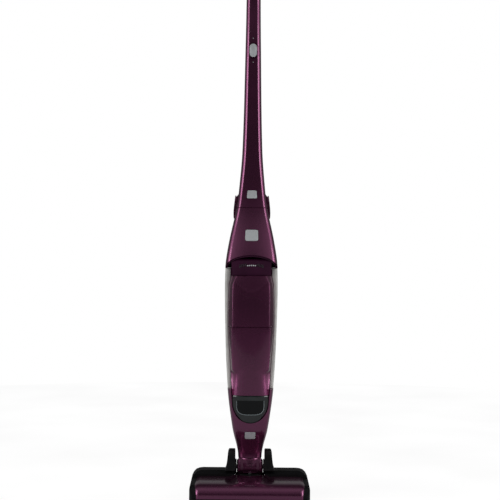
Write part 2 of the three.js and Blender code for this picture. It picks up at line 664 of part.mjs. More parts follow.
function spine() {
  const z0 = RAIL_FOOT + GAP;
  const z1 = NECK_FOOT - GAP;
  const outer = common(column(WHOLE, z0, z1, 4, skin(0)), behind(SPINE_FRONT));
  const inner = common(
    column(WHOLE, z0 - 5, z1 + 5, 4, skin(WALL + 1)), behind(SPINE_FRONT + WALL),
  );
  const inletHole = rod('y', INLET.radius + GAP, 40, 0, back(INLET.z), INLET.z, 20);
  return cut(outer, inner, inletHole);
}

function archSpace(room) {
  const points = [];
  const steps = 12;
  for (let i = 0; i <= steps; i += 1) {
    const angle = (Math.PI * i) / steps;
    points.push([
      (BODY_WIDTH / 2 + room) * Math.cos(angle), NECK_FOOT + (ARCH_HEIGHT + room) * Math.sin(angle),
    ]);
  }
  return slab([
    ...points, [-FAR, NECK_FOOT], [-FAR, -FAR], [FAR, -FAR], [FAR, NECK_FOOT],
  ], -FAR, SPINE_FRONT);
}

function neckCovers() {
  const z1 = SEAM_Z - GAP;
  const inner = column(WHOLE, NECK_FOOT - 5, z1 - WALL, 6, skin(WALL));
  const frontCover = cut(
    column(FRONT_HALF, NECK_FOOT, z1, 6, skin(0)), inner, archSpace(0),
    buttonHole(RELEASE_BUTTON, GAP),
  );
  add('neck_front_cover', 'aubergine', frontCover);
  add('neck_rear_cover', 'aubergine', cut(column(REAR_HALF, NECK_FOOT, z1, 6, skin(0)), inner));
}

function cavityLiner() {
  const z1 = NECK_FOOT + ARCH_HEIGHT + 8;
  const body = column(WHOLE, NECK_FOOT + GAP, z1, 3, skin(WALL + GAP));
  return cut(body, archSpace(-4), box(-40, 40, SPINE_FRONT + 4, 56, -FAR, FAR * 3));
}

function hingeEar(way) {
  const inner = SEAM_WIDTH / 2 + 1;
  const outer = inner + HINGE.ear;
  const foot = SEAM_Z - EAR.drop;
  const top = SEAM_Z + EAR.rise;
  const rear = HINGE.y + 8;
  const plate = slab([
    [inner, foot], [outer, foot], [outer, SEAM_Z - 8],
    [outer - 4, top - 6], [inner + 1, top], [inner, top],
  ].map(([x, z]) => [way * x, z]), EAR.front - 1, rear + 1);
  const side = slice([
    [EAR.front + 1, foot], [EAR.front + 19, foot], [rear, SEAM_Z - 8], [rear, SEAM_Z + 8],
    [EAR.front + 21, top], [EAR.front + 7, top], [EAR.front, top - 12],
  ], -FAR, FAR);
  const neck = column(WHOLE, SEAM_Z - 60, SEAM_Z, 2, skin(-GAP));
  const hole = rod('x', HINGE.pin + GAP, FAR, 0, HINGE.y, SEAM_Z, 14);
  return cut(common(plate, side), neck, hole);
}

function frame() {
  add('lower_cup', 'aubergine', lowerCup());
  add('rail_left', 'rail', rail(-1));
  add('rail_right', 'rail', rail(1));
  add('spine', 'aubergine', spine());
  neckCovers();
  add('cavity_liner', 'black', cavityLiner());
  add('hinge_ear_left', 'aubergine', hingeEar(-1));
  add('hinge_ear_right', 'aubergine', hingeEar(1));
  const pinLength = SEAM_WIDTH + 2 + 2 * HINGE.ear - 2;
  add('hinge_pin', 'steel', rod('x', HINGE.pin, pinLength, 0, HINGE.y, SEAM_Z, 14));
  add('charging_inlet', 'black', ring(
    'y', INLET.bore, INLET.radius, INLET.depth, 0, back(INLET.z) - 5, INLET.z, 20,
  ));
  pushButton('release_button', RELEASE_BUTTON);
  pushButton('nozzle_button', NOZZLE_BUTTON);
}

// ---- Folding handle -------------------------------------------------------------------------
function handle() {
  const z0 = SEAM_Z + GAP;
  const z1 = TOP_Z - CAP_HEIGHT;
  const inner = column(WHOLE, z0 + WALL, z1 + 5, 10, skin(WALL));
  const slotTop = SLIDER.z + SLIDER.height / 2 + RUN;
  const slotHeight = SLIDER.height + SLIDER_TRAVEL + 2 * RUN;
  const slotAt = (room) => slot(
    SLIDER.width + 2 * RUN + 2 * room, slotHeight + 2 * room, slotTop + room,
  );
  add('handle_front', 'aubergine', cut(
    column(FRONT_HALF, z0, z1, 14, skin(0)), inner, slotAt(BEZEL_RIM + GAP),
    buttonHole(FOLD_BUTTON, GAP),
  ));
  const lug = cut(
    join(
      rod('x', HINGE.lug, HINGE.lugWidth, 0, HINGE.y, SEAM_Z, 18),
      box(
        -HINGE.lugWidth / 2, HINGE.lugWidth / 2, HINGE.y - 2 * HINGE.lug, HINGE.y + 2,
        SEAM_Z + 1, SEAM_Z + HINGE.lug - 0.5,
      ),
    ),
    rod('x', HINGE.pin + GAP, FAR, 0, HINGE.y, SEAM_Z, 14),
  );
  const rear = cut(column(REAR_HALF, z0, z1, 14, skin(0)), inner);
  add('handle_rear', 'aubergine', join(rear, lug));
  add('handle_cap', 'black', column(WHOLE, z1 + GAP, TOP_Z, 2, (z) => {
    const t = (z - z1) / CAP_HEIGHT;
    return skin(4 * t * t)(z);
  }));
  const around = (inset) => column(WHOLE, SLIDER.z - 40, SLIDER.z + 40, 4, skin(inset));
  const bezel = common(around(0.6), slotAt(BEZEL_RIM), ahead(front(SLIDER.z) + 11));
  add('switch_bezel', 'aubergine', cut(bezel, cut(slotAt(0), around(6))));
  pushButton('fold_button', FOLD_BUTTON);
  add('power_slider', 'silver', powerSlider());
}

// A round-ended slot through the front of the handle, from its top end downwards.
function slot(width, height, top) {
  const radius = width / 2;
  const points = [];
  const sides = 16;
  for (let i = 0; i < sides; i += 1) {
    const angle = (2 * Math.PI * (i + 0.5)) / sides;
    const z = Math.sin(angle) > 0 ? top - radius : top - height + radius;
    points.push([radius * Math.cos(angle), z + radius * Math.sin(angle)]);
  }
  return slab(points, -FAR, back(SLIDER.z) - 10);
}

// The sliding switch: a dished thumb rest above a raised lip, leaning with the handle.
function powerSlider() {
  const { width, height, z } = SLIDER;
  const y = front(z);
  const end = height / 2;
  return common(slot(width, height, z + end), slice([
    [-1, -end], [-1.6, -4], [0.4, 2], [-0.8, end - 2], [0.2, end], [3.4, end], [3.4, -end],
  ].map(([out, up]) => [y + out + up * SLIDER_LEAN, z + up]), -width / 2, width / 2));
}

// ---- Hand vacuum ----------------------------------------------------------------------------
const MOTOR_AXIS_Y = 3;
const FAN_Z = BIN_TOP + GAP + WALL + 1.3; // the impeller runs just above the casing's floor
const FAN = { radius: 21.5, disc: 2, hub: 12, blades: 7, shroud: 25.5, shroudHeight: 9 };
const MOTOR_CAN = { radius: 20, bore: 15, height: 40, bearing: 2.6, foot: FAN_Z + 11 };
const CELL_TOP = POD_TOP - WALL - 1;
const CELL = {
  radius: 9.2, length: CELL_TOP - MOTOR_CAN.foot - MOTOR_CAN.height - RUN, y: 22, pitch: 19.4,
};
const CELL_COUNT = 4;
const LATCH = { inner: 40, front: 8, rear: 26, foot: 10, height: 16 };
const HAND_BUTTON = { width: 16, height: 12, foot: POD_TOP + 14 };
const BOARD = { width: 64, height: 50, thick: 1.6, y: -18, z: POD_TOP - 33 };
const GRIP = { width: 58, top: 33, thick: 7 };

function handVacuum() {
  const z0 = BIN_TOP + GAP;
  const split = MOTOR_AXIS_Y;
  const outer = column(POD_SECTION, z0, POD_TOP, 5, podSkin(0));
  const inner = column(POD_SECTION, z0 + WALL, POD_TOP - WALL, 5, podSkin(WALL));
  const latchHoles = [-1, 1].map((way) => latchBox(way, GAP));
  const inlet = rod('z', 9, 12, 0, MOTOR_AXIS_Y, z0, 20);
  const bosses = bothSides((way) => rod(
    'y', 3, 10, way * (BOARD.width / 2 - 6), BOARD.y - 5 - GAP, BOARD.z, 12,
  ));
  const shell = join(cut(outer, inner, inlet, ...latchHoles), ...bosses);
  add('motor_shell_front', 'aubergine', common(shell, ahead(split - GAP / 2)));
  add('motor_shell_rear', 'aubergine', common(shell, behind(split + GAP / 2)));
  add('grip', 'black', gripArch());
  const canZ = MOTOR_CAN.foot + MOTOR_CAN.height / 2;
  const can = rod('z', MOTOR_CAN.radius, MOTOR_CAN.height, 0, MOTOR_AXIS_Y, canZ, 24);
  const bore = rod('z', MOTOR_CAN.bore, MOTOR_CAN.height - 4, 0, MOTOR_AXIS_Y, canZ - 3, 24);
  const bearing = rod('z', MOTOR_CAN.bearing, FAR, 0, MOTOR_AXIS_Y, FAN_Z, 12);
  add('motor_can', 'steel', cut(can, bore, bearing));
  add('fan_shroud', 'black', ring(
    'z', FAN.radius + 0.9, FAN.shroud, FAN.shroudHeight, 0, MOTOR_AXIS_Y,
    FAN_Z + FAN.shroudHeight / 2 - 0.5, 28,
  ));
  add('impeller', 'silver', impeller());
  for (let i = 0; i < CELL_COUNT; i += 1) {
    add(`battery_cell_${i + 1}`, 'cell', rod(
      'z', CELL.radius, CELL.length, (i - (CELL_COUNT - 1) / 2) * CELL.pitch, CELL.y,
      CELL_TOP - CELL.length / 2, 18,
    ));
  }
  add('circuit_board', 'board', box(
    -BOARD.width / 2, BOARD.width / 2, BOARD.y, BOARD.y + BOARD.thick,
    BOARD.z - BOARD.height / 2, BOARD.z + BOARD.height / 2,
  ));
  add('hand_power_button', 'silver', box(
    -HAND_BUTTON.width / 2, HAND_BUTTON.width / 2, POD_BACK - 11, POD_BACK - 11 + BUTTON_THICK,
    HAND_BUTTON.foot, HAND_BUTTON.foot + HAND_BUTTON.height,
  ));
  [['left', -1], ['right', 1]].forEach(([side, way]) => {
    add(`bin_latch_${side}`, 'black', cut(
      common(column(POD_SECTION, BIN_TOP, BIN_TOP + 40, 2, podSkin(-0.3)), latchBox(way, 0)),
      column(POD_SECTION, BIN_TOP - 1, BIN_TOP + 41, 2, podSkin(3)),
    ));
  });
}

const latchBox = (way, room) => box(
  way > 0 ? LATCH.inner : -FAR, way > 0 ? FAR : -LATCH.inner,
  LATCH.front - room, LATCH.rear + room,
  BIN_TOP + LATCH.foot - room, BIN_TOP + LATCH.foot + LATCH.height + room,
);

const gripFront = () => front(POD_TOP) + 16;

function gripArch() {
  const y0 = gripFront();
  const y1 = POD_BACK - 6;
  const z0 = POD_TOP + GAP;
  const z1 = POD_TOP + GRIP.top;
  const arch = slice([
    [y0, z0], [y1, z0], [y1, z1 - 8], [y1 - 8, z1], [y0 + 8, z1], [y0, z1 - 8],
  ], -GRIP.width / 2, GRIP.width / 2);
  const gap = slice([
    [y0 + GRIP.thick, z0 + 3], [y1 - GRIP.thick, z0 + 3], [y1 - GRIP.thick, z1 - 12],
    [y1 - 12, z1 - 7], [y0 + 12, z1 - 7], [y0 + GRIP.thick, z1 - 12],
  ], -FAR, FAR);
  const wellHalf = HAND_BUTTON.width / 2 + GAP;
  const buttonWell = box(
    -wellHalf, wellHalf, POD_BACK - 14, POD_BACK,
    HAND_BUTTON.foot - GAP, HAND_BUTTON.foot + HAND_BUTTON.height + GAP,
  );
  return cut(arch, gap, buttonWell);
}

function impeller() {
  const disc = rod('z', FAN.radius, FAN.disc, 0, MOTOR_AXIS_Y, FAN_Z + 1.4, 28);
  const shaft = rod('z', MOTOR_CAN.bearing - RUN, 50, 0, MOTOR_AXIS_Y, FAN_Z + 25.5, 12);
  const core = rod('z', FAN.hub, 24, 0, MOTOR_AXIS_Y, FAN_Z + 26, 18);
  const blades = [];
  for (let i = 0; i < FAN.blades; i += 1) {
    const blade = new THREE.BoxGeometry(17, 1.6, 5);
    blade.rotateZ(0.5).translate(FAN.hub, 0, FAN_Z + 4.2);
    blade.rotateZ((i * 2 * Math.PI) / FAN.blades);
    blades.push(blade.translate(0, MOTOR_AXIS_Y, 0));
  }
  return join(disc, shaft, core, ...blades);
}

// ---- Dust bin -------------------------------------------------------------------------------
const BIN_DIVIDE_Y = 4; // plane between the window and the coloured shell
const FILTER = { outer: 23, inner: 17.5, bore: 13, length: 52, folds: 14, drop: 8 };
const FLAP = { half: 12.5, front: 4.6, thick: 1.4 };

function dustBin() {
  const outer = common(column(POD_SECTION, RIM_Z - 4, BIN_TOP, 9, podSkin(0)), aboveRim(0));
  const inner = common(
    column(POD_SECTION, RIM_Z - 4, BIN_TOP + 5, 9, podSkin(WALL)), aboveRim(WALL),
  );
  const mouth = rod('z', DUCT_RADIUS, 60, 0, MOUTH_Y, RIM_Z, 20);
  const shell = cut(outer, inner, mouth);
  const windowBlock = box(-FAR, FAR, -FAR, BIN_DIVIDE_Y, 0, WINDOW_TOP);
  const lowerFront = box(-FAR, FAR, -FAR, BIN_DIVIDE_Y + GAP, 0, WINDOW_TOP + GAP);
  add('bin_shell', 'aubergine', cut(shell, lowerFront));
  add('bin_window', 'smoke', common(shell, windowBlock));
  const frameZ = BIN_TOP - FILTER.drop;
  const plate = column(POD_SECTION, frameZ, frameZ + 4, 1, podSkin(WALL + GAP));
  add('filter_frame', 'black', cut(
    plate, rod('z', FILTER.bore + 1, 20, 0, MOTOR_AXIS_Y, frameZ, 20),
  ));
  const pleats = [];
  for (let i = 0; i < FILTER.folds * 2; i += 1) {
    const angle = (Math.PI * i) / FILTER.folds;
    const radius = i % 2 ? FILTER.inner : FILTER.outer;
    pleats.push(new THREE.Vector2(radius * Math.cos(angle), radius * Math.sin(angle)));
  }
  const cloth = new THREE.ExtrudeGeometry(new THREE.Shape(pleats), {
    depth: FILTER.length, bevelEnabled: false,
  });
  cloth.translate(0, MOTOR_AXIS_Y, frameZ - GAP - FILTER.length);
  add('filter', 'filter', cut(
    cloth, rod('z', FILTER.bore, 60, 0, MOTOR_AXIS_Y, frameZ - 18, 20),
  ));
  const flapZ = RIM_Z + GAP + WALL + 3;
  add('inlet_flap', 'rubber', box(
    -FLAP.half, FLAP.half, FLAP.front, POD_BACK - 7, flapZ, flapZ + FLAP.thick,
  ));
}

nozzle();
knuckle();
frame();
handle();
handVacuum();
dustBin();

export default part;
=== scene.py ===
"""Cordless stick vacuum: the outer shells, controls and finishes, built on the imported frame."""

import json
import math
import random

import bmesh
import bpy
from mathutils import Matrix, Vector


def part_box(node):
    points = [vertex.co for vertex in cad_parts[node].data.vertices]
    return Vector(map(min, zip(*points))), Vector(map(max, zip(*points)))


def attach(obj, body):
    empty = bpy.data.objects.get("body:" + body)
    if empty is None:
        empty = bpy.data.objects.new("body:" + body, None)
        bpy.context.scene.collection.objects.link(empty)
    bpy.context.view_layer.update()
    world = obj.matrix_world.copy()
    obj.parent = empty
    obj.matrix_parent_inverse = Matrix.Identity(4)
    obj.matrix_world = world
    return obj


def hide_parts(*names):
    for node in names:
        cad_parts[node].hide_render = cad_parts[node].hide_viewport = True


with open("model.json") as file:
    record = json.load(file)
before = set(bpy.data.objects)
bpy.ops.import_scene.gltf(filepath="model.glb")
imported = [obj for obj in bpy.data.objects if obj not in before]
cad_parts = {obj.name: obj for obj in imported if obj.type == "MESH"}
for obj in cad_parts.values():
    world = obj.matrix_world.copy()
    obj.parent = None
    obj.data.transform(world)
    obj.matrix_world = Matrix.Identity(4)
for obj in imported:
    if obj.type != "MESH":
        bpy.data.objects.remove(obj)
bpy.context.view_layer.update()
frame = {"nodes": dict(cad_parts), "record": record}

bl_info = {
    "name": "Cordless Stick Vacuum",
    "version": (1, 0, 0),
    "blender": (4, 5, 0),
    "location": "View3D > Sidebar > Vacuum",
    "description": "Builds the shells, controls and finishes of a cordless stick vacuum",
    "category": "Add Mesh",
}

MM = 0.001


def in_mm(*points):
    """Points given in millimetres, as metres."""
    return [tuple(value * MM for value in point) for point in points]


# ---- Places read from the frame ------------------------------------------------------------


def low(node):
    return Vector(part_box(node)[0])


def high(node):
    return Vector(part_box(node)[1])


def ends(node):
    return low(node), high(node)


def middle(node):
    return (low(node) + high(node)) / 2


FOOT = low("lower_cup").z
RAIL_FOOT = high("lower_cup").z
RIM = low("bin_shell").z
BIN_TOP = high("bin_shell").z
POD_TOP = high("motor_shell_rear").z
POD_BACK = high("motor_shell_rear").y
NECK_FOOT = low("neck_front_cover").z
SEAM = high("neck_front_cover").z
CAP_FOOT = low("handle_cap").z
TOP = high("handle_cap").z
WINDOW_TOP = high("bin_window").z
STICK_Y = middle("swivel_spigot").y
PIVOT = middle("pivot_pin_left")
PIVOT_CENTRE = Vector((0, PIVOT.y, PIVOT.z))
HINGE = middle("hinge_pin")
BODY_HALF = high("neck_front_cover").x
SEAM_HALF = low("hinge_ear_right").x - 1 * MM
GRIP_HALF = high("handle_cap").x
FOOT_HALF = 26.5 * MM
WAIST = FOOT + 70 * MM  # where the cup's sides turn from its foot to its broad upper half
BEND = SEAM + 131 * MM  # where the handle stops tapering
GRIP_BEND = TOP - 147 * MM  # where the handle starts to lean back into the hand
SHOULDER_Z = WINDOW_TOP + 54 * MM  # where the bin's face narrows to its window
RIM_RISE = 45 * MM  # height of the cup's U-shaped rim
MOUTH_SPOT = (0, POD_BACK - 20 * MM)  # air way from the cup into the bin
DUCT_RADIUS = 10 * MM
HINGE_BORE = 3.3 * MM
PIVOT_BORE = 5.3 * MM
RECESS_RISE = 30 * MM  # height of the arched opening in the neck
GAP = 0.3 * MM
WALL = 2.4 * MM
SLIDE_ROOM = 0.6 * MM  # clearance round what slides or lifts out
REACH = 0.3  # longer than any piece, for cutting tools
SIDES = (("left", -1), ("right", 1))
BUTTONS = {  # top width, bottom width, height
    "fold_button": (20 * MM, 23 * MM, 18 * MM),
    "release_button": (28 * MM, 29 * MM, 25 * MM),
    "nozzle_button": (24 * MM, 23 * MM, 16.6 * MM),
}


def profile(stations):
    """A smooth curve through (place, value) stations, level at both ends."""
    slopes = [0.0] * len(stations)
    for i in range(1, len(stations) - 1):
        before, after = stations[i - 1], stations[i + 1]
        slopes[i] = (after[1] - before[1]) / (after[0] - before[0])

    def value(place):
        if place <= stations[0][0]:
            return stations[0][1]
        if place >= stations[-1][0]:
            return stations[-1][1]
        i = next(k for k, (end, _) in enumerate(stations) if end > place) - 1
        (start, first), (end, last) = stations[i], stations[i + 1]
        span = end - start
        t = (place - start) / span
        rise = first + (last - first) * t * t * (3 - 2 * t)
        return rise + t * (1 - t) * span * ((1 - t) * slopes[i] - t * slopes[i + 1])

    return value


half_width = profile([
    (FOOT, FOOT_HALF), (WAIST, 39.7 * MM), (RAIL_FOOT, 51.4 * MM), (BIN_TOP, BODY_HALF - 0.6 * MM),
    (NECK_FOOT, BODY_HALF), (SEAM - 75 * MM, 50.5 * MM), (SEAM, SEAM_HALF),
    (SEAM + 36 * MM, 30 * MM), (BEND, 22.5 * MM), (GRIP_BEND, 17.5 * MM),
    (TOP, GRIP_HALF),
])
front = profile([
    (FOOT, 22 * MM), (WAIST, -16 * MM), (RAIL_FOOT, -26 * MM), (BIN_TOP, -30 * MM),
    (POD_TOP, -28 * MM), (SEAM - 110 * MM, -20 * MM), (SEAM, 16 * MM), (BEND, 26 * MM),
    (GRIP_BEND, 36 * MM), (TOP, 50 * MM),
])
back = profile([
    (FOOT, 68 * MM), (WAIST, 65 * MM), (SEAM, 64 * MM), (BEND, 61 * MM),
    (GRIP_BEND, 68 * MM), (TOP, 82 * MM),
])
pod_half = profile([
    (RIM, 37 * MM), (WINDOW_TOP, 42 * MM), (WINDOW_TOP + 81 * MM, 46.5 * MM),
    (BIN_TOP, high("bin_shell").x), (POD_TOP - 24 * MM, 50 * MM), (POD_TOP, 46 * MM),
])
facet_share = profile([
    (FOOT, 0.66), (RAIL_FOOT, 0.76), (NECK_FOOT, 0.84), (SEAM, 0.78), (BEND, 0.64),
    (TOP, 0.56),
])
bevel_share = profile([
    (FOOT, 0.9), (NECK_FOOT, 0.93), (SEAM, 0.9), (BEND, 0.84), (TOP, 0.82),
])
face_crown = profile([
    (FOOT, 2.5 * MM), (RAIL_FOOT, 4 * MM), (NECK_FOOT, 8 * MM), (SEAM - 75 * MM, 6.5 * MM),
    (SEAM, 2.4 * MM), (BEND, 0.5 * MM), (TOP, 0.4 * MM),
])


# ---- User properties -----------------------------------------------------------------------


def paint(hexa, alpha=1.0):
    """An sRGB hex value as linear colour."""
    channels = [int(hexa[i:i + 2], 16) / 255 for i in (1, 3, 5)]
    linear = [c / 12.92 if c <= 0.04045 else ((c + 0.055) / 1.055) ** 2.4 for c in channels]
    return (*linear, alpha)


def colour_property(name, description, hexa):
    return bpy.props.FloatVectorProperty(
        name=name, description=description, default=paint(hexa), size=4, min=0.0, max=1.0,
        subtype="COLOR",
    )


class VacuumSizes(bpy.types.PropertyGroup):
    crown: bpy.props.FloatProperty(
        name="Crown", description="Share of the designed bulge on the front faces",
        default=1.0, subtype="FACTOR",
    )
    rim_round: bpy.props.FloatProperty(
        name="Rim round", description="Rounding on the ends of the moulded shells",
        default=0.5 * MM, unit="LENGTH",
    )
    button_proud: bpy.props.FloatProperty(
        name="Button height", description="How far the push buttons stand out of their shell",
        default=0.8 * MM, unit="LENGTH",
    )
    ring_spacing: bpy.props.FloatProperty(
        name="Ring spacing", description="Distance between the rings of a lofted shell",
        default=6 * MM, unit="LENGTH",
    )
    bristle_width: bpy.props.FloatProperty(
        name="Tuft spacing", description="Distance between the tufts of the brush roll",
        default=4 * MM, unit="LENGTH",
    )
    camera_distance: bpy.props.FloatProperty(
        name="Camera distance", description="Camera to the stick", default=3.2, unit="LENGTH",
    )
    camera_height: bpy.props.FloatProperty(
        name="Camera height", description="Camera above the floor", default=0.6, unit="LENGTH",
    )
    camera_roll: bpy.props.FloatProperty(
        name="Camera roll", description="Small turn of the camera about its view",
        default=math.radians(0.48), subtype="ANGLE",
    )


class VacuumColours(bpy.types.PropertyGroup):
    lacquer: colour_property("Lacquer", "Metallic lacquer on the coloured shells", "#84426a")
    # Recess colour: the body colour darkened to deep plum, as painted shade in the hand recess and
    # on the grip.
    recess: colour_property("Recess", "Unlacquered plastic in the hand recess", "#3c1230")
    satin_black: colour_property("Satin black", "Moulded black plastic", "#0f0f11")
    silver: colour_property("Silver", "Painted buttons", "#dde1e4")
    rail: colour_property("Rail grey", "Light side rails", "#e4e3df")
    smoke: colour_property("Smoke", "Smoked window", "#0b0e11")
    rubber: colour_property("Rubber", "Tyres, belt and glide", "#19191a")
    steel: colour_property("Steel", "Pins, axles and cans", "#b4b6b9")
    brass: colour_property("Brass", "Motor pulley", "#c29a52")
    bristle: colour_property("Bristle", "Nylon tufts", "#2f2f36")
    cell: colour_property("Cell sleeve", "Shrink sleeve of the cells", "#3a6d94")
    board: colour_property("Solder mask", "Circuit board", "#1c5a38")
    filter_cloth: colour_property("Filter cloth", "Pleated filter", "#e6e1d3")


def sizes():
    return bpy.context.scene.vacuum_sizes


def colours():
    return bpy.context.scene.vacuum_colours


# ---- Materials -----------------------------------------------------------------------------


def add(tree, kind, inputs=None, **settings):
    """Adds a shader node; inputs hold values or the sockets that feed them."""
    node = tree.nodes.new(kind)
    for name, value in settings.items():
        setattr(node, name, value)
    for name, value in (inputs or {}).items():
        socket = node.inputs[name]
        if isinstance(value, bpy.types.NodeSocket):
            tree.links.new(value, socket)
        else:
            socket.default_value = value
    return node


def blank_material(name):
    material = bpy.data.materials.new(name)
    material.use_nodes = True
    tree = material.node_tree
    tree.nodes.clear()
    return material, tree


def ramp(tree, factor, stops):
    """A colour ramp from (place, colour) stops, fed by a factor socket."""
    node = add(tree, "ShaderNodeValToRGB", {"Fac": factor})
    first, last = node.color_ramp.elements
    first.position, first.color = stops[0]
    last.position, last.color = stops[-1]
    for place, colour in stops[1:-1]:
        node.color_ramp.elements.new(place).color = colour
    return node.outputs["Color"]


def between(tree, factor, low_colour, high_colour):
    """A ramp from one colour to another across the middle of a noise."""
    return ramp(tree, factor, [(0.3, low_colour), (0.7, high_colour)])


def grey(value):
    return (value, value, value, 1)


def mottle(tree, size, detail=2.0, seed=0.0):
    """Noise in the piece's own space, with features about size metres across."""
    place = add(tree, "ShaderNodeTexCoord").outputs["Object"]
    if seed:
        shift = add(tree, "ShaderNodeVectorMath", {0: place, 1: (seed, seed, seed)})
        place = shift.outputs[0]
    noise = add(
        tree, "ShaderNodeTexNoise", {"Vector": place, "Scale": 1 / size, "Detail": detail},
    )
    return noise.outputs["Fac"]


def bump(tree, height, depth, strength=1.0):
    node = add(
        tree, "ShaderNodeBump", {"Height": height, "Distance": depth, "Strength": strength},
    )
    return node.outputs["Normal"]


def darker(colour, share):
    red, green, blue, alpha = colour
    return (red * share, green * share, blue * share, alpha)


def surface(tree, inputs):
    shader = add(tree, "ShaderNodeBsdfPrincipled", inputs)
    add(tree, "ShaderNodeOutputMaterial", {"Surface": shader.outputs["BSDF"]})
    return shader


def lacquer_material():
    """ABS, sprayed with metallic base coat and clear lacquer: deep colour in the middle of a panel,
    pale lines where an edge turns to the light, a fine sparkle of flake."""
    material, tree = blank_material("abs_metallic_lacquer_aubergine")
    tint = colours().lacquer
    flake_size = 1.2 * MM  # real flake is about 0.05 mm, too fine to show
    flake = mottle(tree, flake_size, 3.0)
    cloud = mottle(tree, 60 * MM, 1.0, seed=3.0)
    colour = between(tree, flake, darker(tint, 0.72), darker(tint, 1.15))
    rough = between(tree, cloud, grey(0.25), grey(0.3))
    peel = mottle(tree, 3 * MM, 1.0, seed=7.0)  # orange peel of the clear coat
    surface(tree, {
        "Base Color": colour, "Metallic": 0.9, "Roughness": rough,
        "Normal": bump(tree, flake, 0.015 * MM), "Coat Weight": 0.8, "Coat Roughness": 0.08,
        "Coat IOR": 1.5, "Coat Normal": bump(tree, peel, 0.004 * MM),
    })
    return material


def moulded_material(name, tint, rough, grain, depth):
    """Injection-moulded plastic with a spark-eroded grain: even, soft and slightly mottled."""
    material, tree = blank_material(name)
    texture = mottle(tree, grain, 4.0)
    wear = mottle(tree, 35 * MM, 2.0, seed=5.0)
    surface(tree, {
        "Base Color": between(tree, wear, darker(tint, 0.85), darker(tint, 1.1)),
        "Roughness": between(tree, wear, grey(rough - 0.05), grey(rough + 0.06)),
        "IOR": 1.5, "Normal": bump(tree, texture, depth),
    })
    return material


def black_material():
    """Satin black ABS with a fine eroded grain: reads almost black, with soft wide highlights."""
    return moulded_material(
        "abs_moulded_satin_black", colours().satin_black, 0.34, 0.9 * MM, 0.02 * MM,
    )


def rail_material():
    """Light grey ABS, moulded satin: an even pale strip that shades softly round its edge."""
    return moulded_material("abs_moulded_light_grey", colours().rail, 0.42, 1.0 * MM, 0.015 * MM)


def silver_material():
    """Satin silver paint over ABS: bright where it turns, grey in its dished middle."""
    material, tree = blank_material("abs_sprayed_satin_silver")
    tint = colours().silver
    flake = mottle(tree, 0.8 * MM, 2.0)
    surface(tree, {
        "Base Color": between(tree, flake, darker(tint, 0.8), darker(tint, 1.1)),
        "Metallic": 0.2, "Roughness": 0.3, "Normal": bump(tree, flake, 0.01 * MM),
    })
    return material


def smoke_material():
    """Smoked polycarbonate, polished: nearly black, with sharp reflections and a dim inside."""
    material, tree = blank_material("polycarbonate_polished_smoked")
    wipe = mottle(tree, 25 * MM, 2.0)
    rough = ramp(tree, wipe, [(0.4, grey(0.04)), (0.7, grey(0.09))])
    surface(tree, {
        "Base Color": colours().smoke, "Roughness": rough, "IOR": 1.58,
        "Specular IOR Level": 0.2, "Transmission Weight": 0.1, "Coat Weight": 0.12,
        "Coat Roughness": 0.03,
    })
    return material


def smoke_edge_material():
    """The window's thick border: paler smoke, where light is piped along the moulding."""
    material, tree = blank_material("polycarbonate_polished_smoked_border")
    wipe = mottle(tree, 18 * MM, 2.0)
    colour = between(tree, wipe, paint("#1b2022"), paint("#272d2f"))
    surface(tree, {"Base Color": colour, "Roughness": 0.12, "IOR": 1.58, "Coat Weight": 0.5})
    return material


def dull_material(name, tint, shares, grain_size, wear_size, rough, specular, depth):
    """Plastic with a coarse eroded grain and no gloss, which stays dark even seen edge-on."""
    material, tree = blank_material(name)
    grain = mottle(tree, grain_size, 4.0)
    wear = mottle(tree, wear_size, 2.0, seed=5.0)
    low_share, high_share = shares
    surface(tree, {
        "Base Color": between(tree, wear, darker(tint, low_share), darker(tint, high_share)),
        "Roughness": rough, "Specular IOR Level": specular, "Normal": bump(tree, grain, depth),
    })
    return material


def deck_material():
    """Black ABS on the floor head: the grain breaks up every reflection along its top."""
    return dull_material(
        "abs_moulded_grained_black", colours().satin_black, (0.8, 1.1), 0.8 * MM, 40 * MM,
        0.5, 0.22, 0.03 * MM,
    )


def recess_painted_shade_material():
    """Body-coloured plastic without lacquer, in the hand recess: satin, and darkened to deep plum
    as painted shade.
    """
    return dull_material(
        "abs_moulded_plum_painted_shade", colours().recess, (0.85, 1.1), 0.9 * MM, 30 * MM,
        0.45, 0.25, 0.02 * MM,
    )


def rubber_material():
    """Moulded rubber: matt, faintly dusty, with a coarse skin."""
    return moulded_material("rubber_moulded_matt", colours().rubber, 0.8, 0.7 * MM, 0.04 * MM)


def turned_material(name, tint, rough):
    """Turned metal: fine rings from the lathe tool make a drawn-out highlight."""
    material, tree = blank_material(name)
    lines = mottle(tree, 0.5 * MM, 2.0)
    tone = mottle(tree, 12 * MM, 2.0, seed=2.0)
    surface(tree, {
        "Base Color": between(tree, tone, darker(tint, 0.85), tint), "Metallic": 1.0,
        "Roughness": rough, "Normal": bump(tree, lines, 0.01 * MM),
    })
    return material


def bristle_material():
    """Nylon tufts set in a moulded core: dark, slightly streaked and soft-edged."""
    material, tree = blank_material("nylon_tufted_dark")
    streak = mottle(tree, 1.1 * MM, 3.0)
    tint = colours().bristle
    colour = ramp(tree, streak, [(0.35, darker(tint, 0.5)), (0.65, darker(tint, 1.5))])
    surface(tree, {"Base Color": colour, "Roughness": 0.6, "Sheen Weight": 0.3})
    return material


def sleeve_material():
    """PVC shrink sleeve on a steel can: glossy, with faint waves from shrinking."""
    return moulded_material("pvc_shrink_sleeve", colours().cell, 0.28, 6 * MM, 0.08 * MM)


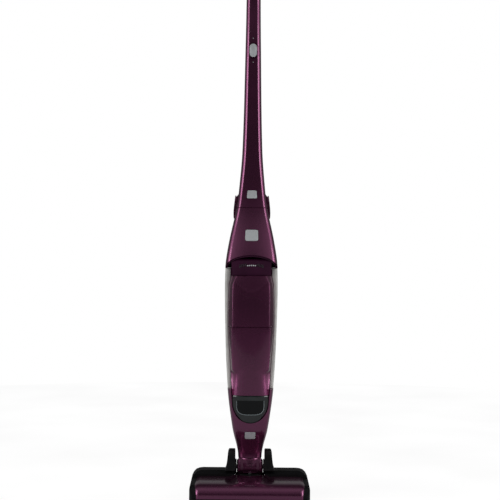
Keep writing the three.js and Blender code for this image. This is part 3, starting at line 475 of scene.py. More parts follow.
def board_material():
    """Glass-epoxy board under green solder mask, with a grid of fine copper tracks."""
    material, tree = blank_material("glass_epoxy_solder_mask")
    place = add(tree, "ShaderNodeTexCoord").outputs["Object"]
    tracks = add(tree, "ShaderNodeTexBrick", {
        "Vector": place, "Color1": colours().board, "Color2": darker(colours().board, 0.7),
        "Mortar": darker(colours().brass, 0.6), "Scale": 1 / (8 * MM),
    })
    surface(tree, {"Base Color": tracks.outputs["Color"], "Roughness": 0.35})
    return material


def filter_material():
    """Pleated filter cloth: off-white fibre with a dusty, uneven tone."""
    material, tree = blank_material("polyester_felt_filter")
    fibre = mottle(tree, 0.9 * MM, 5.0)
    dust = mottle(tree, 14 * MM, 3.0, seed=4.0)
    tint = colours().filter_cloth
    colour = ramp(tree, dust, [(0.35, darker(tint, 0.7)), (0.65, tint)])
    surface(tree, {
        "Base Color": colour, "Roughness": 0.9, "Sheen Weight": 0.4,
        "Normal": bump(tree, fibre, 0.2 * MM),
    })
    return material


def lens_material():
    """Clear lens over a small status lamp: a pale glossy dot."""
    material, tree = blank_material("acrylic_lens_clear")
    haze = mottle(tree, 2 * MM)
    colour = between(tree, haze, paint("#c9ced2"), paint("#f4f6f7"))
    surface(tree, {"Base Color": colour, "Roughness": 0.12, "Coat Weight": 1.0})
    return material


MAKERS = {
    "aubergine": lacquer_material,
    "black_plastic": black_material,
    "silver_paint": silver_material,
    "rail_grey": rail_material,
    "smoked_window": smoke_material,
    "rubber": rubber_material,
    "steel": lambda: turned_material("steel_turned", colours().steel, 0.28),
    "brass": lambda: turned_material("brass_turned", colours().brass, 0.25),
    "bristle": bristle_material,
    "cell_sleeve": sleeve_material,
    "board_green": board_material,
    "filter_paper": filter_material,
    "lens": lens_material,
    "smoke_edge": smoke_edge_material,
    "recess": recess_painted_shade_material,
    "deck": deck_material,
    # The pane's moulded bead: its pale grey is a painted highlight along the edge of the pane.
    "painted_highlight_bead": lambda: moulded_material(
        "polycarbonate_moulded_bead_painted_highlight", paint("#8b9498"), 0.16, 2 * MM, 0.01 * MM,
    ),
}
made = {}


def finish_of(slot):
    if slot not in made:
        made[slot] = MAKERS[slot]()
    return made[slot]


# ---- Mesh helpers --------------------------------------------------------------------------


def loft(name, rings):
    """A closed skin through rings that all have the same number of points."""
    bm = bmesh.new()
    loops = [[bm.verts.new(point) for point in ring] for ring in rings]
    count = len(loops[0])
    for lower, upper in zip(loops, loops[1:]):
        for i in range(count):
            j = (i + 1) % count
            bm.faces.new((lower[i], lower[j], upper[j], upper[i]))
    bm.faces.new(loops[0][::-1])
    bm.faces.new(loops[-1])
    bmesh.ops.recalc_face_normals(bm, faces=bm.faces)
    return to_object(name, bm)


def to_object(name, bm):
    mesh = bpy.data.meshes.new(name)
    bm.to_mesh(mesh)
    bm.free()
    piece = bpy.data.objects.new(name, mesh)
    bpy.context.scene.collection.objects.link(piece)
    return piece


def copied(piece):
    twin = piece.copy()
    twin.data = piece.data.copy()
    bpy.context.scene.collection.objects.link(twin)
    return twin


def settle(piece):
    """Applies every modifier on a piece."""
    graph = bpy.context.evaluated_depsgraph_get()
    mesh = bpy.data.meshes.new_from_object(piece.evaluated_get(graph))
    old = piece.data
    piece.modifiers.clear()
    piece.data = mesh
    mesh.name = old.name
    bpy.data.meshes.remove(old)
    return piece


def carve(piece, *tools, how="DIFFERENCE"):
    """Cuts, joins or keeps a piece with tool solids, which are used up."""
    for tool in tools:
        step = piece.modifiers.new("carve", "BOOLEAN")
        step.object = tool
        step.operation = how
        step.solver = "EXACT"
    settle(piece)
    for tool in tools:
        bpy.data.objects.remove(tool)
    if not piece.data.polygons:
        raise RuntimeError(f"{piece.name} was lost in a cut")
    return piece


def soften(piece, width, angle=40, segments=3):
    """Rounds the hard edges of a piece."""
    step = piece.modifiers.new("round", "BEVEL")
    step.width = width
    step.segments = segments
    step.limit_method = "ANGLE"
    step.angle_limit = math.radians(angle)
    return settle(piece)


def turn_over(piece):
    """Mirrors a piece's mesh from right to left."""
    piece.data.transform(Matrix.Scale(-1, 4, (1, 0, 0)))
    piece.data.flip_normals()


def dress(piece, slot, body, nodes=(), sharp=35, finish=None):
    """Gives a finished piece its material and smooth shading, hangs it under its body and hides the
    design parts it replaces.
    """
    piece.data.materials.clear()
    piece.data.materials.append(finish_of(finish or slot))
    piece.data.shade_smooth()
    piece.data.set_sharp_from_angle(angle=math.radians(sharp))
    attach(piece, body)
    if nodes:
        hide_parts(*nodes)
    return piece


def rounded(corners, steps=4):
    """A closed outline with each corner (x, y, share) rounded into its edges by that share."""
    points = []
    for i, (x, y, share) in enumerate(corners):
        here = Vector((x, y))
        if not share:
            points.append(here)
            continue
        before = Vector(corners[i - 1][:2])
        after = Vector(corners[(i + 1) % len(corners)][:2])
        first = here.lerp(before, share)
        last = here.lerp(after, share)
        for k in range(steps + 1):
            t = k / steps
            points.append(first * (1 - t) ** 2 + here * 2 * t * (1 - t) + last * t * t)
    return points


def even(start, end, spacing):
    """Places from start to end about one spacing apart."""
    count = max(1, round((end - start) / spacing))
    return [start + (end - start) * i / count for i in range(count + 1)]


def column(name, ring, start, end, inset=0.0, rim=None, spacing=None):
    """A solid pushed up through ring(z, inset), with its two end edges rounded."""
    rim = sizes().rim_round if rim is None else rim
    spacing = spacing or sizes().ring_spacing
    places = [(z, inset) for z in even(start + rim, end - rim, spacing)]
    if rim:
        places = [(start, inset + rim), *places, (end, inset + rim)]
    return loft(name, [[(p.x, p.y, z) for p in ring(z, depth)] for z, depth in places])


def prism(name, points, axis, start, end):
    """An outline pushed along an axis: (x, z) along y, (y, z) along x, or (x, y) along z."""
    place = {
        "x": lambda p, d: (d, p[0], p[1]),
        "y": lambda p, d: (p[0], d, p[1]),
        "z": lambda p, d: (p[0], p[1], d),
    }[axis]
    return loft(name, [[place(p, d) for p in points] for d in (start, end)])


def block(name, lowest, highest):
    (x0, y0, z0), (x1, y1, z1) = lowest, highest
    return prism(name, [(x0, y0), (x1, y0), (x1, y1), (x0, y1)], "z", z0, z1)


def arc(steps, start=0.0):
    """Cosine and sine at even steps round half a turn, from start half turns on."""
    angles = [math.pi * (start + i / steps) for i in range(steps + 1)]
    return [(math.cos(a), math.sin(a)) for a in angles]


def stadium(radius, foot, top, steps):
    """An upright round-ended outline: foot and top are the centres of its two ends."""
    points = []
    for i in range(steps):
        angle = 2 * math.pi * (i + 0.5) / steps
        z = top if math.sin(angle) > 0 else foot
        points.append((radius * math.cos(angle), z + radius * math.sin(angle)))
    return points


def circle(radius, centre=(0, 0), sides=48):
    steps = [2 * math.pi * i / sides for i in range(sides)]
    return [(centre[0] + radius * math.cos(a), centre[1] + radius * math.sin(a)) for a in steps]


def turned(name, outline, centre, axis="z", sides=64):
    """A closed (radius, height) outline turned about an axis through the centre."""
    bm = bmesh.new()
    loops = []
    for i in range(sides):
        angle = 2 * math.pi * i / sides
        c, s = math.cos(angle), math.sin(angle)
        place = {
            "z": lambda r, h: (r * c, r * s, h),
            "x": lambda r, h: (h, r * c, r * s),
            "y": lambda r, h: (r * s, h, r * c),
        }[axis]
        loops.append([bm.verts.new(Vector(place(r, h)) + Vector(centre)) for r, h in outline])
    for loop, following in zip(loops, loops[1:] + loops[:1]):
        for k in range(len(outline)):
            m = (k + 1) % len(outline)
            bm.faces.new((loop[k], loop[m], following[m], following[k]))
    bmesh.ops.remove_doubles(bm, verts=bm.verts, dist=1e-7)
    bmesh.ops.recalc_face_normals(bm, faces=bm.faces)
    return to_object(name, bm)


def pin(name, radius, half, centre, sides=32):
    """A round pin along x."""
    outline = [(0, -half), (radius, -half), (radius, half), (0, half)]
    return turned(name, outline, centre, axis="x", sides=sides)


# ---- Sections of the stick -----------------------------------------------------------------
REAR_SIDE = [(1.0, 0.02, 0.0), (0.99, 0.42, 0.48), (0.87, 0.82, 0.48), (0.55, 1.0, 0.48)]
FACE_STEPS = 5


def mirrored(edge):
    return [(-x, y, share) for x, y, share in edge[::-1]]


def skin_corners(z, inset, sides):
    """Section corners for the named sides, fitted between the front and back of the skin."""
    half = half_width(z) - inset
    ahead, behind = front(z) + inset, back(z) - inset
    centre, depth = (ahead + behind) / 2, (behind - ahead) / 2
    corners = []
    if "front" in sides:
        facet = facet_share(z) * half
        bevel = bevel_share(z) * half
        crown = face_crown(z) * sizes().crown
        slope = ahead + crown + 0.66 * (bevel - facet)
        side = min(slope + 1.9 * (half - bevel) + 1.5 * MM, centre - 0.1 * depth)
        edge = [
            (half, centre - 0.02 * depth, 0.0), (half, side, 0.4),
            (bevel, slope, 0.35), (facet, ahead + crown, 0.3),
        ]
        face = []
        for k in range(-FACE_STEPS + 1, FACE_STEPS):
            face.append((-facet * k / FACE_STEPS, ahead + crown * (k / FACE_STEPS) ** 2, 0.3))
        corners += edge + face + mirrored(edge)
    if "rear" in sides:
        edge = [(u * half, centre + v * depth, r) for u, v, r in REAR_SIDE]
        corners += [(-x, y, r) for x, y, r in edge] + edge[::-1]
    return corners


def front_ring(z, inset):
    return rounded(skin_corners(z, inset, ("front",)))


def rear_ring(z, inset):
    return rounded(skin_corners(z, inset, ("rear",)))


swell_share = profile([(SEAM, 1.0), (SEAM + 26 * MM, 1.0), (SEAM + 32 * MM, 0.0)])


def swollen_ring(z, inset):
    """The handle's rear section, filled out to the hinge ears near its foot."""
    half = half_width(z)
    room = max(0.0, low("hinge_ear_right").x - GAP - half)
    grow = (half + swell_share(z) * room) / half
    return [Vector((p.x * grow, p.y)) for p in rear_ring(z, inset)]


def whole_ring(z, inset):
    return rounded(skin_corners(z, inset, ("front", "rear")))


facet_half = profile([
    (RIM, 26 * MM), (WINDOW_TOP, 33 * MM), (SHOULDER_Z - 4 * MM, 33.5 * MM),
    (SHOULDER_Z + 3 * MM, 40.5 * MM), (BIN_TOP - 1 * MM, 43 * MM), (BIN_TOP + 1 * MM, 41.3 * MM),
    (POD_TOP - 20 * MM, 41 * MM), (POD_TOP, 34 * MM),
])
side_drop = profile([
    (RIM, 5 * MM), (WINDOW_TOP, 7 * MM), (SHOULDER_Z - 4 * MM, 14 * MM),
    (SHOULDER_Z + 3 * MM, 22 * MM), (POD_TOP, 22 * MM),
])
crease_round = profile([
    (SHOULDER_Z - 6 * MM, 0.6), (SHOULDER_Z + 4 * MM, 0.12), (POD_TOP, 0.12),
])
pod_crown = profile([
    (RIM, 6 * MM), (SHOULDER_Z, 7 * MM), (BIN_TOP - 30 * MM, 4 * MM), (BIN_TOP, 3 * MM),
    (POD_TOP, 4 * MM),
])


def brow(x, z):
    """How far the face falls back above the arched crease near the hand vacuum's top."""
    crease = POD_TOP - 36 * MM + 28 * MM * (x / (40 * MM)) ** 2
    above = z - crease
    if above <= 0:
        return 0.0
    return min(0.7 * MM, above * 0.5) + min(0.14 * above, 5 * MM)


def pod_ring(z, inset):
    """The hand vacuum's section: a gently crowned face, a bevel at each side and a flat back."""
    half = pod_half(z) - inset
    ahead = front(z) + inset
    facet = min(facet_half(z), half - 4 * MM)
    drop = side_drop(z)
    crown = pod_crown(z) * sizes().crown
    edge = [
        (half, POD_BACK - inset, 0.06), (half, ahead + drop + 5 * MM, 0.3),
        (facet + 0.66 * (half - facet), ahead + drop * 0.6 + crown, 0.35),
        (facet, ahead + crown, crease_round(z)),
    ]
    steps = 8
    face = []
    for k in range(-steps + 1, steps):
        face.append((-facet * k / steps, ahead + crown * abs(k / steps) ** 2.6, 0.3))
    ring = rounded(edge + face + mirrored(edge))
    for point in ring:
        if point.y < ahead + drop:
            point.y += brow(point.x, z)
    return ring


def rim_outline(inset):
    """The U of the cup's rim: half an ellipse, set in or out."""
    shoulder = RIM + RIM_RISE
    across, down = pod_half(shoulder) - inset, RIM_RISE - inset
    return [(across * c, shoulder + down * s) for c, s in arc(32, start=1)]


def halved(piece, side, split):
    """Keeps the part of a piece ahead of or behind a plane across Y."""
    y0, y1 = (-REACH, split) if side == "ahead" else (split, REACH)
    return carve(piece, block("half", (-REACH, y0, -REACH), (REACH, y1, 2)), how="INTERSECT")


# ---- Push buttons --------------------------------------------------------------------------


def button_outline(centre_z, top, bottom, height, grow=0.0):
    """A button's front outline: top and bottom widths, rounded corners, (x, z) points."""
    t, b, h = top / 2 + grow, bottom / 2 + grow, height / 2 + grow
    corners = [(x, z, 0.16) for x, z in ((-b, -h), (b, -h), (t, h), (-t, h))]
    return [(p.x, centre_z + p.y) for p in rounded(corners, 5)]


def dished(name, outline, face, thick, edge=0.9 * MM, dish=0.5 * MM):
    """A button whose face follows face(x, z), with a rounded edge and a dished middle."""
    centre = Vector((
        sum(x for x, _ in outline) / len(outline), sum(z for _, z in outline) / len(outline),
    ))
    rings = []
    stages = [
        (1.0, thick), (1.0, edge), (0.985, edge * 0.35), (0.94, 0.0), (0.86, 0.0),
        (0.72, dish * 0.45), (0.5, dish * 0.85), (0.2, dish),
    ]
    for share, sink in stages:
        ring = []
        for x, z in outline:
            spot = centre.lerp(Vector((x, z)), share)
            ring.append((spot.x, face(spot.x, spot.y) + sink, spot.y))
        rings.append(ring)
    return loft(name, rings)


def push_button(node):
    """A silver push button in its hole; returns the tool that cuts the hole."""
    centre = middle(node)
    proud = sizes().button_proud
    outline = button_outline(centre.z, *BUTTONS[node])
    piece = dished(node + "_cap", outline, lambda x, z: front(z) - proud, 4.6 * MM)
    dress(piece, "silver_paint", node, [node])
    hole = button_outline(centre.z, *BUTTONS[node], grow=0.5 * MM)
    return prism("hole", hole, "y", -REACH, STICK_Y - 10 * MM)


# ---- Operators -----------------------------------------------------------------------------


class StageBuilder(bpy.types.Operator):
    """Sets up the pale floor, the studio light and the camera"""

    bl_idname = "vacuum.stage"
    bl_label = "Stage"
    FLOOR_RADIUS = 2.4
    AROUND = (  # brightness seen by reflections from behind (0) round to ahead (1)
        (0.0, 0.15), (0.1, 0.09), (0.34, 0.12), (0.44, 0.4), (0.54, 1.0), (0.72, 1.0),
        (0.83, 0.4), (0.93, 0.1), (0.985, 0.03),
    )
    UP = ((0.2, 0.15), (0.42, 0.8), (0.5, 1.0), (0.75, 0.9), (0.9, 0.3))  # and by height
    PANEL = {"spot": (1.7, -0.9, 0.75), "aim": (0, STICK_Y, 0.6), "size": (0.5, 2.0), "watts": 9}
    VIEW = (-0.013, 1.122)  # lowest and highest point in view, at the stick
    ASIDE = -0.0036

    def execute(self, context):
        scene = context.scene
        scene.view_settings.view_transform = "Standard"
        bm = bmesh.new()
        bmesh.ops.create_circle(bm, cap_ends=True, segments=96, radius=self.FLOOR_RADIUS)
        floor = to_object("studio_floor", bm)
        material, tree = blank_material("paper_sweep_white")
        tone = mottle(tree, 400 * MM)
        colour = between(tree, tone, paint("#f6f6f6"), paint("#fcfcfc"))
        path = add(tree, "ShaderNodeLightPath")
        seen = add(tree, "ShaderNodeEmission", {"Color": colour, "Strength": 0.98})
        reflected = add(tree, "ShaderNodeEmission", {"Color": colour, "Strength": 0.2})
        glow = add(tree, "ShaderNodeMixShader", {
            0: path.outputs["Is Camera Ray"], 1: reflected.outputs[0], 2: seen.outputs[0],
        })
        matt = add(tree, "ShaderNodeBsdfDiffuse", {"Color": darker(paint("#ffffff"), 0.2)})
        both = add(tree, "ShaderNodeAddShader", {0: glow.outputs[0], 1: matt.outputs[0]})
        add(tree, "ShaderNodeOutputMaterial", {"Surface": both.outputs[0]})
        floor.data.materials.append(material)
        self.light_world(scene)
        self.add_lamps(scene)
        self.add_camera(scene)
        return {"FINISHED"}

    def light_world(self, scene):
        """White to the camera; to the object a dark front, bright sides and a dim back."""
        world = bpy.data.worlds.new("studio")
        scene.world = world
        world.use_nodes = True
        tree = world.node_tree
        tree.nodes.clear()
        way = add(tree, "ShaderNodeTexCoord").outputs["Generated"]
        parts = add(tree, "ShaderNodeSeparateXYZ", {0: way})
        ahead = add(tree, "ShaderNodeMapRange", {
            "Value": parts.outputs["Y"], "From Min": 1.0, "From Max": -1.0,
        })
        around = ramp(tree, ahead.outputs[0], [(at, grey(v)) for at, v in self.AROUND])
        up = add(tree, "ShaderNodeMapRange", {"Value": parts.outputs["Z"], "From Min": -1.0})
        level = ramp(tree, up.outputs[0], [(at, grey(v)) for at, v in self.UP])
        both = add(
            tree, "ShaderNodeMix", {6: around, 7: level, 0: 1.0}, data_type="RGBA",
            blend_type="MULTIPLY",
        )
        path = add(tree, "ShaderNodeLightPath")
        dim = add(tree, "ShaderNodeBackground", {"Color": both.outputs[2], "Strength": 1.0})
        white = add(tree, "ShaderNodeBackground", {"Color": paint("#ffffff"), "Strength": 1.0})
        blend = add(tree, "ShaderNodeMixShader", {
            0: path.outputs["Is Camera Ray"], 1: dim.outputs[0], 2: white.outputs[0],
        })
        add(tree, "ShaderNodeOutputWorld", {"Surface": blend.outputs[0]})

    def add_lamps(self, scene):
        """Tall soft panels to both sides, unseen by the camera."""
        for side, way in SIDES:
            x, y, z = self.PANEL["spot"]
            spot = Vector((way * x, y, z))
            data = bpy.data.lights.new(f"{side}_panel", "AREA")
            data.shape = "RECTANGLE"
            data.size, data.size_y = self.PANEL["size"]
            data.energy = self.PANEL["watts"]
            lamp = bpy.data.objects.new(f"{side}_panel", data)
            lamp.location = spot
            turn = (Vector(self.PANEL["aim"]) - spot).to_track_quat("-Z", "Y")
            lamp.rotation_euler = turn.to_euler()
            lamp.visible_camera = False
            scene.collection.objects.link(lamp)

    def add_camera(self, scene):
        """Level with the bin, looking straight at the front, the handle's end out of view."""
        view_low, view_high = self.VIEW
        distance = sizes().camera_distance
        data = bpy.data.cameras.new("camera")
        data.sensor_width = 36
        data.lens = data.sensor_width * distance / (view_high - view_low)
        camera = bpy.data.objects.new("camera", data)
        spot = Vector((self.ASIDE, STICK_Y - distance, sizes().camera_height))
        aim = Vector((self.ASIDE, STICK_Y, (view_low + view_high) / 2))
        turn = (aim - spot).to_track_quat("-Z", "Y").to_matrix()
        roll = Matrix.Rotation(sizes().camera_roll, 3, "Z")
        camera.location = spot
        camera.rotation_euler = (turn @ roll).to_euler()
        scene.collection.objects.link(camera)
        scene.camera = camera


class HandleBuilder(bpy.types.Operator):
    """Builds the folding handle's two shells, its cap, switch and fold button"""

    bl_idname = "vacuum.handle"
    bl_label = "Handle"
    TRAVEL = 4.5 * MM  # of the power slider
    BEZEL = 2.4 * MM  # width of the rim round the slider's slot
    MARK_RISE = 27 * MM

    def execute(self, context):
        foot = low("handle_front").z
        inner = column("inner", whole_ring, foot + WALL, CAP_FOOT + WALL, inset=WALL, rim=0)
        spare = copied(inner)
        hole = push_button("fold_button")
        front_shell = column("handle_front_shell", front_ring, foot, CAP_FOOT - GAP)
        carve(front_shell, inner, hole, self.slot(self.BEZEL + GAP))
        dress(front_shell, "aubergine", "handle", ["handle_front"])
        rear_shell = column("handle_rear_shell", swollen_ring, foot, CAP_FOOT - GAP)
        carve(rear_shell, spare)
        dress(rear_shell, "aubergine", "handle", ["handle_rear"])
        self.lug()
        self.cap()
        self.bezel()
        self.slider()
        self.index_marks()
        return {"FINISHED"}

    def slot(self, grow):
        """The round-ended opening that the slider runs in."""
        lowest, highest = ends("power_slider")
        radius = highest.x + SLIDE_ROOM + grow
        top = highest.z + SLIDE_ROOM + grow - radius
        foot = lowest.z - self.TRAVEL - SLIDE_ROOM - grow + radius
        return prism("slot", stadium(radius, foot, top, 24), "y", -REACH, STICK_Y + 10 * MM)

    def lug(self):
        ends = (-20 * MM, 20 * MM)
        lug = prism("handle_lug", circle(7 * MM, (HINGE.y, HINGE.z)), "x", *ends)
        arm = block(
            "arm", (ends[0], HINGE.y - 14 * MM, HINGE.z + 1 * MM),
            (ends[1], HINGE.y + 2 * MM, HINGE.z + 6.5 * MM),
        )
        carve(lug, arm, how="UNION")
        bore = prism("bore", circle(HINGE_BORE, (HINGE.y, HINGE.z), 32), "x", -REACH, REACH)
        carve(lug, bore)
        dress(soften(lug, 0.8 * MM), "aubergine", "handle")

    def cap(self):
        rings = []
        for i in range(9):
            t = i / 8
            z = CAP_FOOT + (TOP - CAP_FOOT) * math.sin(t * math.pi / 2)
            inset = 9 * MM * (1 - math.cos(t * math.pi / 2))
            rings.append([(p.x, p.y, z) for p in whole_ring(z, inset)])
        dress(loft("handle_cap_shell", rings), "black_plastic", "handle", ["handle_cap"])

    def bezel(self):
        lowest, highest = ends("switch_bezel")
        bezel = column(
            "switch_bezel_ring", whole_ring, lowest.z - 10 * MM, highest.z + 10 * MM,
            inset=0.5 * MM, rim=0,
        )
        carve(bezel, self.slot(self.BEZEL), how="INTERSECT")
        halved(bezel, "ahead", front(middle("switch_bezel").z) + 11 * MM)
        well = self.slot(0)
        floor = column(
            "floor", whole_ring, lowest.z - 20 * MM, highest.z + 20 * MM, inset=6 * MM, rim=0,
        )
        carve(well, floor)
        carve(bezel, well)
        dress(bezel, "aubergine", "handle", ["switch_bezel"])

    def slider(self):
        lowest, highest = ends("power_slider")
        centre = middle("power_slider")
        half, height = highest.x, highest.z - lowest.z

        def face(x, z):
            up = (z - centre.z) / (height / 2)
            lip = 1.7 * MM * math.exp(-((up + 0.62) / 0.3) ** 2)
            hollow = 1.6 * MM * math.exp(-((up - 0.25) / 0.55) ** 2)
            return front(z) + 0.4 * MM - lip + hollow * (1 - (x / half) ** 2)

        end = height / 2 - half
        points = stadium(half, centre.z - end, centre.z + end, 32)
        knob = dished("power_slider_knob", points, face, 3.4 * MM, edge=1.2 * MM, dish=0.2 * MM)
        dress(knob, "silver_paint", "power_slider", ["power_slider"])

    def index_marks(self):
        """Two tiny printed dots, one above the switch and one below."""
        for name, way in (("upper", 1), ("lower", -1)):
            z = middle("power_slider").z + way * self.MARK_RISE
            y = front(z)
            outline = in_mm((0, -0.15), (0.9, -0.12), (0.9, 0.4), (0, 0.4))
            mark = turned(f"switch_mark_{name}", outline, (0, y, z), axis="y", sides=16)
            dress(mark, "silver_paint", "handle")


class NeckBuilder(bpy.types.Operator):
    """Builds the neck covers, the lined hand recess, the hinge ears and the release button"""

    bl_idname = "vacuum.neck"
    bl_label = "Neck"

    def execute(self, context):
        top = high("neck_front_cover").z
        hole = push_button("release_button")
        for name, ring, tools in (
            ("neck_front_cover", front_ring, [self.arch(0), hole]),
            ("neck_rear_cover", rear_ring, []),
        ):
            shell = column(name + "_shell", ring, NECK_FOOT, top)
            inner = column(
                "inner", whole_ring, NECK_FOOT - 5 * MM, top - WALL, inset=WALL, rim=0,
            )
            carve(shell, inner, *tools)
            dress(shell, "aubergine", "frame", [name])
        self.liner()
        for side, way in SIDES:
            self.ear(side, way)
        dress(pin("hinge_pin_rod", 3 * MM, 41 * MM, HINGE), "steel", "frame", ["hinge_pin"])
        return {"FINISHED"}

    def arch(self, grow):
        """The arched opening in the neck's lower edge, as a tool pushed back from the front."""
        rise = RECESS_RISE + grow
        half = BODY_HALF + grow
        points = [(half * c, NECK_FOOT + rise * s) for c, s in arc(48)]
        points += [(-REACH, NECK_FOOT), (-REACH, 0), (REACH, 0), (REACH, NECK_FOOT)]
        return prism("arch", points, "y", -REACH, POD_BACK + 1.5 * MM)

    def liner(self):
        lowest, highest = ends("cavity_liner")
        liner = column(
            "recess_liner", whole_ring, lowest.z, highest.z, inset=WALL + GAP, rim=0,
        )
        well = block(
            "well", (-40 * MM, POD_BACK + 5.5 * MM, -REACH), (40 * MM, 56 * MM, 2),
        )
        carve(liner, self.arch(-4 * MM), well)
        # The liner's deep plum is the body colour darkened as painted shade.
        dress(liner, "black_plastic", "frame", ["cavity_liner"], finish="recess")

    def ear(self, side, way):
        """A rounded cheek beside the hinge; the left one is the right one turned over."""
        lowest, highest = ends("hinge_ear_right")
        inner, outer = lowest.x, highest.x
        z0, z1 = lowest.z, highest.z
        face = rounded([
            (inner, z0, 0.02), (outer - 0.5 * MM, z0, 0.3), (outer, z0 + 18 * MM, 0.4),
            (inner + 2.6 * MM, z1, 0.25), (inner, z1, 0.05),
        ], 6)
        ear = prism(f"hinge_ear_{side}_cheek", face, "y", lowest.y, highest.y)
        side_view = rounded([
            (lowest.y, z0, 0.2), (58 * MM, z0, 0.3), (highest.y, HINGE.z - 8 * MM, 0.35),
            (highest.y, HINGE.z + 8 * MM, 0.35), (60 * MM, z1, 0.35), (46 * MM, z1, 0.35),
            (lowest.y, z1 - 14 * MM, 0.3),
        ], 6)
        carve(ear, prism("side", side_view, "x", 0, REACH), how="INTERSECT")
        neck = column("neck", whole_ring, SEAM - 60 * MM, SEAM, inset=-GAP, rim=0)
        bore = prism("bore", circle(HINGE_BORE, (HINGE.y, HINGE.z), 32), "x", 0, REACH)
        carve(ear, neck, bore)
        soften(ear, 0.8 * MM, angle=50, segments=2)
        if way < 0:
            turn_over(ear)
        dress(ear, "aubergine", "frame", [f"hinge_ear_{side}"], sharp=50)


class FrameBuilder(bpy.types.Operator):
    """Builds the side rails, the rear spine, the lower cup, its button and the charging inlet"""

    bl_idname = "vacuum.frame"
    bl_label = "Frame"

    def execute(self, context):
        for side, way in SIDES:
            self.rail(side, way)
        self.spine()
        self.cup()
        inlet = middle("charging_inlet")
        ring = in_mm(
            (3.5, -4), (4.2, -4.5), (7, -4.5), (7, 4), (6.4, 4.5), (4.2, 4.5), (3.5, 3.8),
        )
        socket = turned("charging_inlet_ring", ring, inlet, axis="y")
        dress(socket, "black_plastic", "frame", ["charging_inlet"])
        return {"FINISHED"}

    def dock(self, room, rear):
        """The space the hand vacuum slides out of, as a tool open to the front."""
        points = rim_outline(-room)
        places = even(RIM + RIM_RISE + 1 * MM, POD_TOP, 6 * MM)
        points += [(pod_half(z) + room, z) for z in places]
        points += [(pod_half(POD_TOP) + room, POD_TOP + 60 * MM)]
        points += [(-pod_half(POD_TOP) - room, POD_TOP + 60 * MM)]
        points += [(-pod_half(z) - room, z) for z in places[::-1]]
        return prism("dock", points, "y", -REACH, rear)

    def rail(self, side, way):
        node = f"rail_{side}"
        lowest, highest = ends(node)

        def ring(z, inset):
            inner = pod_half(z) + SLIDE_ROOM + inset
            outer = half_width(z) - inset
            y0, y1 = lowest.y + inset, highest.y - inset
            outline = rounded([
                (inner, y1, 0.05), (inner, y0, 0.04), (outer - 2.5 * MM, y0, 0.4),
                (outer, y0 + 9 * MM, 0.45), (outer * 0.985, y1, 0.03),
            ])
            return [Vector((way * p.x, p.y)) for p in outline]

        rail = column(node + "_strip", ring, lowest.z, highest.z)
        dress(rail, "rail_grey", "frame", [node])

    def spine(self):
        lowest, highest = ends("spine")
        spine = column("spine_shell", whole_ring, lowest.z, highest.z)
        halved(spine, "behind", lowest.y)
        inner = column(
            "inner", whole_ring, lowest.z - 5 * MM, highest.z + 5 * MM, inset=WALL + 1 * MM, rim=0,
        )
        halved(inner, "behind", lowest.y + WALL)
        inlet = middle("charging_inlet")
        bore = prism("bore", circle(7.3 * MM, (inlet.x, inlet.z)), "y", inlet.y - 6 * MM, REACH)
        carve(spine, inner, bore)
        dress(spine, "aubergine", "frame", ["spine"])

    def cup(self):
        cup = column("lower_cup_shell", whole_ring, FOOT, RAIL_FOOT)
        hollow_foot = FOOT + 32 * MM
        hollow = column("hollow", whole_ring, hollow_foot, RIM - 4.3 * MM, inset=WALL, rim=0)
        rear = column(
            "rear", whole_ring, hollow_foot + 10 * MM, RAIL_FOOT + 5 * MM, inset=WALL, rim=0,
        )
        halved(rear, "behind", POD_BACK + 1.5 * MM + WALL)
        carve(cup, hollow, rear)
        floor = block(
            "floor", (-REACH, -REACH, RIM - 4.5 * MM), (REACH, REACH, RIM + RIM_RISE),
        )
        shell = column("shell", whole_ring, FOOT, RAIL_FOOT)
        carve(floor, shell, how="INTERSECT")
        halved(floor, "ahead", POD_BACK + 2 * MM)
        carve(cup, floor, how="UNION")
        socket = prism("socket", circle(15.6 * MM, (0, STICK_Y)), "z", FOOT - 1, FOOT + 28 * MM)
        hole = push_button("nozzle_button")
        mouth = prism(
            "mouth", circle(DUCT_RADIUS, MOUTH_SPOT), "z", RIM - 20 * MM, RIM + 20 * MM,
        )
        carve(cup, self.dock(SLIDE_ROOM, POD_BACK + SLIDE_ROOM), socket, hole, mouth)
        dress(cup, "aubergine", "frame", ["lower_cup"])


